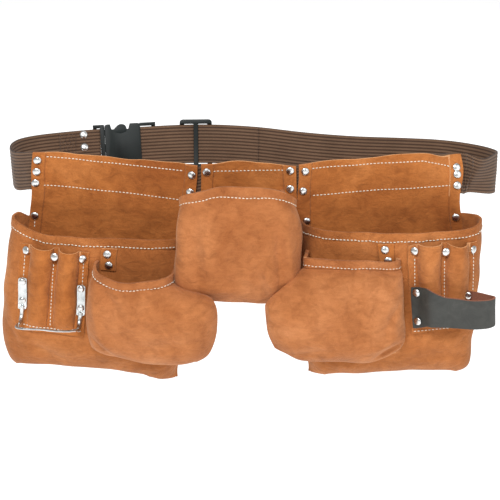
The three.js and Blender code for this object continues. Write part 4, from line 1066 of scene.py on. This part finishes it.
# A seam ends where a look met nothing, or met leather that isn't the next place along it
def unbroken(seams):
    parts = []
    for seam in seams:
        part = []
        for hit in seam + [None]:
            if hit and (not part or (hit[0] - part[-1][0]).length < stitchLook["jump"]):
                part.append(hit)
                continue
            if len(part) > stitchLook["fewest"]:
                parts.append(part)
            part = [hit] if hit else []
    return parts


def layStitches(name, seams, pattern, finish="thread"):
    verts = np.array([v.co for v in pattern.data.vertices])
    faces = [tuple(p.vertices) for p in pattern.data.polygons]
    allVerts, allFaces = [], []
    for seam in unbroken(seams):
        places = np.array([hit[0] for hit in seam])
        normals = np.array([hit[1] for hit in seam])
        steps = np.linalg.norm(np.diff(places, axis=0), axis=1)
        run = np.concatenate([[0], np.cumsum(steps)])
        count = max(int(run[-1] / stitchLook["pitch"]), 1)
        for at in (np.arange(count) + 0.5) * run[-1] / count:
            place = np.array([np.interp(at, run, places[:, k]) for k in range(3)])
            before = np.array([np.interp(at - stitchLook["reach"], run, places[:, k]) for k in range(3)])
            after = np.array([np.interp(at + stitchLook["reach"], run, places[:, k]) for k in range(3)])
            normal = np.array([np.interp(at, run, normals[:, k]) for k in range(3)])
            along = after - before
            along /= np.linalg.norm(along)
            normal -= along * (normal @ along)
            normal /= np.linalg.norm(normal)
            side = np.cross(normal, along)
            turned = verts @ np.stack([along, side, normal])
            offset = place + normal * (stitchLook["thick"] * stitchLook["rise"] - stitchLook["sunk"])
            first = len(allVerts) * len(verts)
            allVerts.append(turned + offset)
            allFaces += [tuple(first + i for i in face) for face in faces]
    mesh = bpy.data.meshes.new(name)
    mesh.from_pydata(np.concatenate(allVerts).tolist(), [], allFaces)
    mesh.update()
    threads = bpy.data.objects.new(name, mesh)
    bpy.context.scene.collection.objects.link(threads)
    makeActive(threads)
    bpy.ops.object.shade_smooth()
    mesh.materials.append(materials[finish])
    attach(threads, "root")


# A seam drawn on a side's flat cut as a few places, with a look every few millimetres between them
def frontSeam(tree, side, places):
    hits = []
    for (x0, z0), (x1, z1) in zip(places, places[1:]):
        count = max(int(math.hypot(x1 - x0, z1 - z0) / stitchLook["lookStep"]), 1)
        for k in range(count + 1):
            share = k / count
            hits.append(lookAt(tree, side, x0 + (x1 - x0) * share, z0 + (z1 - z0) * share))
    return hits


rimLook = {"above": 24, "drops": 70, "from": 200, "farthest": 0.2}


# Looks in at a bag from outside, level with its side's flat cut
def lookIn(tree, matrix, centre, outward):
    start = matrix @ ((centre + outward * rimLook["from"]) * millimetre)
    place, normal = tree.ray_cast(start, matrix.to_3x3() @ -outward, rimLook["farthest"])[:2]
    return (place, normal) if place is not None else None


# A seam below a bag's mouth: in each direction the rim is found by looking in from outside, lower and lower
def rimSeam(tree, side, rim):
    matrix = sideMatrix(side)
    hits = []
    for k in range(rim["looks"] + 1):
        share = k / rim["looks"]
        angle = math.radians(rim["half"] * (2 * share - 1))
        outward = Vector((math.sin(angle), -math.cos(angle), 0))
        for drop in range(rimLook["drops"]):
            centre = Vector((rim["x"], rim["y"], rim["top"] + rimLook["above"] - drop))
            if lookIn(tree, matrix, centre, outward):
                under = np.interp(share, (0, 0.5, 1), rim["under"])
                hits.append(lookIn(tree, matrix, centre - Vector((0, 0, under)), outward))
                break
    return hits


# Each mouth's middle and top, how far under its rim the row runs at its left, middle and right, and half the
# angle that the row goes round
rims = {
    "left_main_pocket": {"x": 0, "y": -4, "top": -84, "under": (9, 10, 9.5), "half": 84, "looks": 110},
    "right_main_pocket": {"x": 0, "y": -4, "top": -76, "under": (9.5, 10, 9), "half": 84, "looks": 110},
    "left_small_pouch": {"x": 46, "y": -62, "top": -113, "under": (9, 9.5, 9), "half": 84, "looks": 80},
    "right_small_pouch": {"x": -46, "y": -62, "top": -101, "under": (9, 9.5, 9), "half": 84, "looks": 80},
    "centre_pouch": {"x": 0, "y": -8, "top": -4, "under": (9, 13.5, 5), "half": 86, "looks": 90},
}

stitchPattern = makeStitch()
trees = {node: treeOf(piece) for node, piece in leather.items()}
for node, rim in rims.items():
    seam = rimSeam(trees[node], node.split("_")[0], rim)
    layStitches("thread_rim_" + node, [seam], stitchPattern)

# Seams on the panels and the sleeves, as places on their side's flat cut
frontSeams = {
    "left_back_panel": [
        [(-86, -8), (86, -8)],
        [(-88, -46), (88, -46)],
        [(-96.5, -86), (-96.5, -104)],
    ],
    "centre_panel": [
        [(-44, -8), (44, -7)],
        [(-42, -44), (44, -44)],
    ],
    "right_back_panel": [
        [(-88, -8), (52, -7), (68, -12), (87, -19)],
        [(-88, -44), (88, -42)],
    ],
    "left_tool_sleeve": [
        [(-96, -116), (-96, -204)],
        [(-59, -122), (-59, -204)],
        [(-22, -116), (-22, -204)],
        [(-99, -207), (-19, -207)],
    ],
    "right_tool_sleeve": [
        [(30, -109), (30, -202)],
        [(67, -114), (67, -203)],
        [(104, -108), (104, -202)],
        [(27, -205), (107, -205)],
    ],
}
for node, seams in frontSeams.items():
    found = [frontSeam(trees[node], node.split("_")[0], seam) for seam in seams]
    layStitches("thread_" + node, found, stitchPattern)

# Where the belt's end is turned back it is sewn with zigzags between two straight rows
zigzag = {
    "from": -0.244,
    "to": -0.2245,
    "low": -0.0185,
    "high": 0.0255,
    "columns": 4,
    "swing": 0.4,
    "turns": 12,
    "looksPerTurn": 3,
}


def zigzagSeams(tree):
    seams = []
    width = (zigzag["to"] - zigzag["from"]) / zigzag["columns"]
    looks = zigzag["turns"] * zigzag["looksPerTurn"]
    for column in range(zigzag["columns"] + 1):
        seam = []
        swing = zigzag["swing"] * width if 0 < column < zigzag["columns"] else 0.0
        for k in range(looks + 1):
            x = zigzag["from"] + column * width + swing * math.cos(math.pi * k / zigzag["looksPerTurn"])
            z = zigzag["low"] + (zigzag["high"] - zigzag["low"]) * k / looks
            place, normal = tree.ray_cast(Vector((x, 0, z)), Vector((0, 1, 0)))[:2]
            seam.append((place, normal) if place is not None else None)
        seams.append(seam)
    return seams


layStitches("thread_belt_end", zigzagSeams(beltTree), stitchPattern, "brownThread")
bpy.data.objects.remove(stitchPattern)
print("stitches ready")

# Studio: a pale floor well below the hanging apron, a white sky and three soft lights
studio = {
    "floorDrop": 0.3,
    "floorSize": 14.0,
    "sky": 0.44,
    "floorGlow": 0.4,
    "lights": [
        {"name": "keyLight", "place": (-0.45, -2.2, 2.1), "size": 0.9, "power": 78},
        {"name": "fillLight", "place": (1.9, -1.8, 0.9), "size": 1.8, "power": 16},
        {"name": "backLight", "place": (0.2, 1.9, 1.7), "size": 1.6, "power": 20},
    ],
    "target": (0, -0.06, -0.09),
    "camera": (0, -2.2852, 0.8091),
    "lens": 136.8,
    "sensor": 36.0,
    "shift": (0.002, -0.002),
    "paper": [(0.3, (0.93, 0.93, 0.93)), (0.7, (0.96, 0.96, 0.96))],
    "white": (1.0, 1.0, 1.0, 1.0),
}


# Turns a light or the camera towards the middle of the apron
def aimAtTarget(piece, place):
    piece.location = place
    aim = Vector(studio["target"]) - Vector(place)
    piece.rotation_euler = aim.to_track_quat("-Z", "Y").to_euler()


def addStudio():
    deselectAll()
    low = cadBox[0][2] - studio["floorDrop"]
    bpy.ops.mesh.primitive_plane_add(size=studio["floorSize"], location=(0, 0, low))
    floor = bpy.context.object
    floor.name = "floor"
    bpy.ops.object.transform_apply(location=True, rotation=True, scale=True)
    paper = nodeTree("palePaper")
    tone = paper.noise(3, 2, 0.5)
    paper.set(Roughness=0.9, Emission_Strength=studio["floorGlow"])
    paper.shader.inputs["Emission Color"].default_value = studio["white"]
    floor.data.materials.append(paper.finish(paper.ramp(tone, studio["paper"])))
    world = bpy.data.worlds.new("studioSky")
    bpy.context.scene.world = world
    world.use_nodes = True
    sky = world.node_tree.nodes["Background"]
    sky.inputs["Color"].default_value = studio["white"]
    sky.inputs["Strength"].default_value = studio["sky"]
    for entry in studio["lights"]:
        data = bpy.data.lights.new(entry["name"], "AREA")
        data.size = entry["size"]
        data.energy = entry["power"]
        light = bpy.data.objects.new(entry["name"], data)
        bpy.context.scene.collection.objects.link(light)
        aimAtTarget(light, entry["place"])


def addCamera():
    data = bpy.data.cameras.new("viewCamera")
    data.sensor_width = studio["sensor"]
    data.lens = studio["lens"]
    data.shift_x, data.shift_y = studio["shift"]
    camera = bpy.data.objects.new("viewCamera", data)
    bpy.context.scene.collection.objects.link(camera)
    aimAtTarget(camera, studio["camera"])
    bpy.context.scene.camera = camera


addStudio()
addCamera()
bpy.context.scene.view_settings.view_transform = "Standard"
print("studio ready")
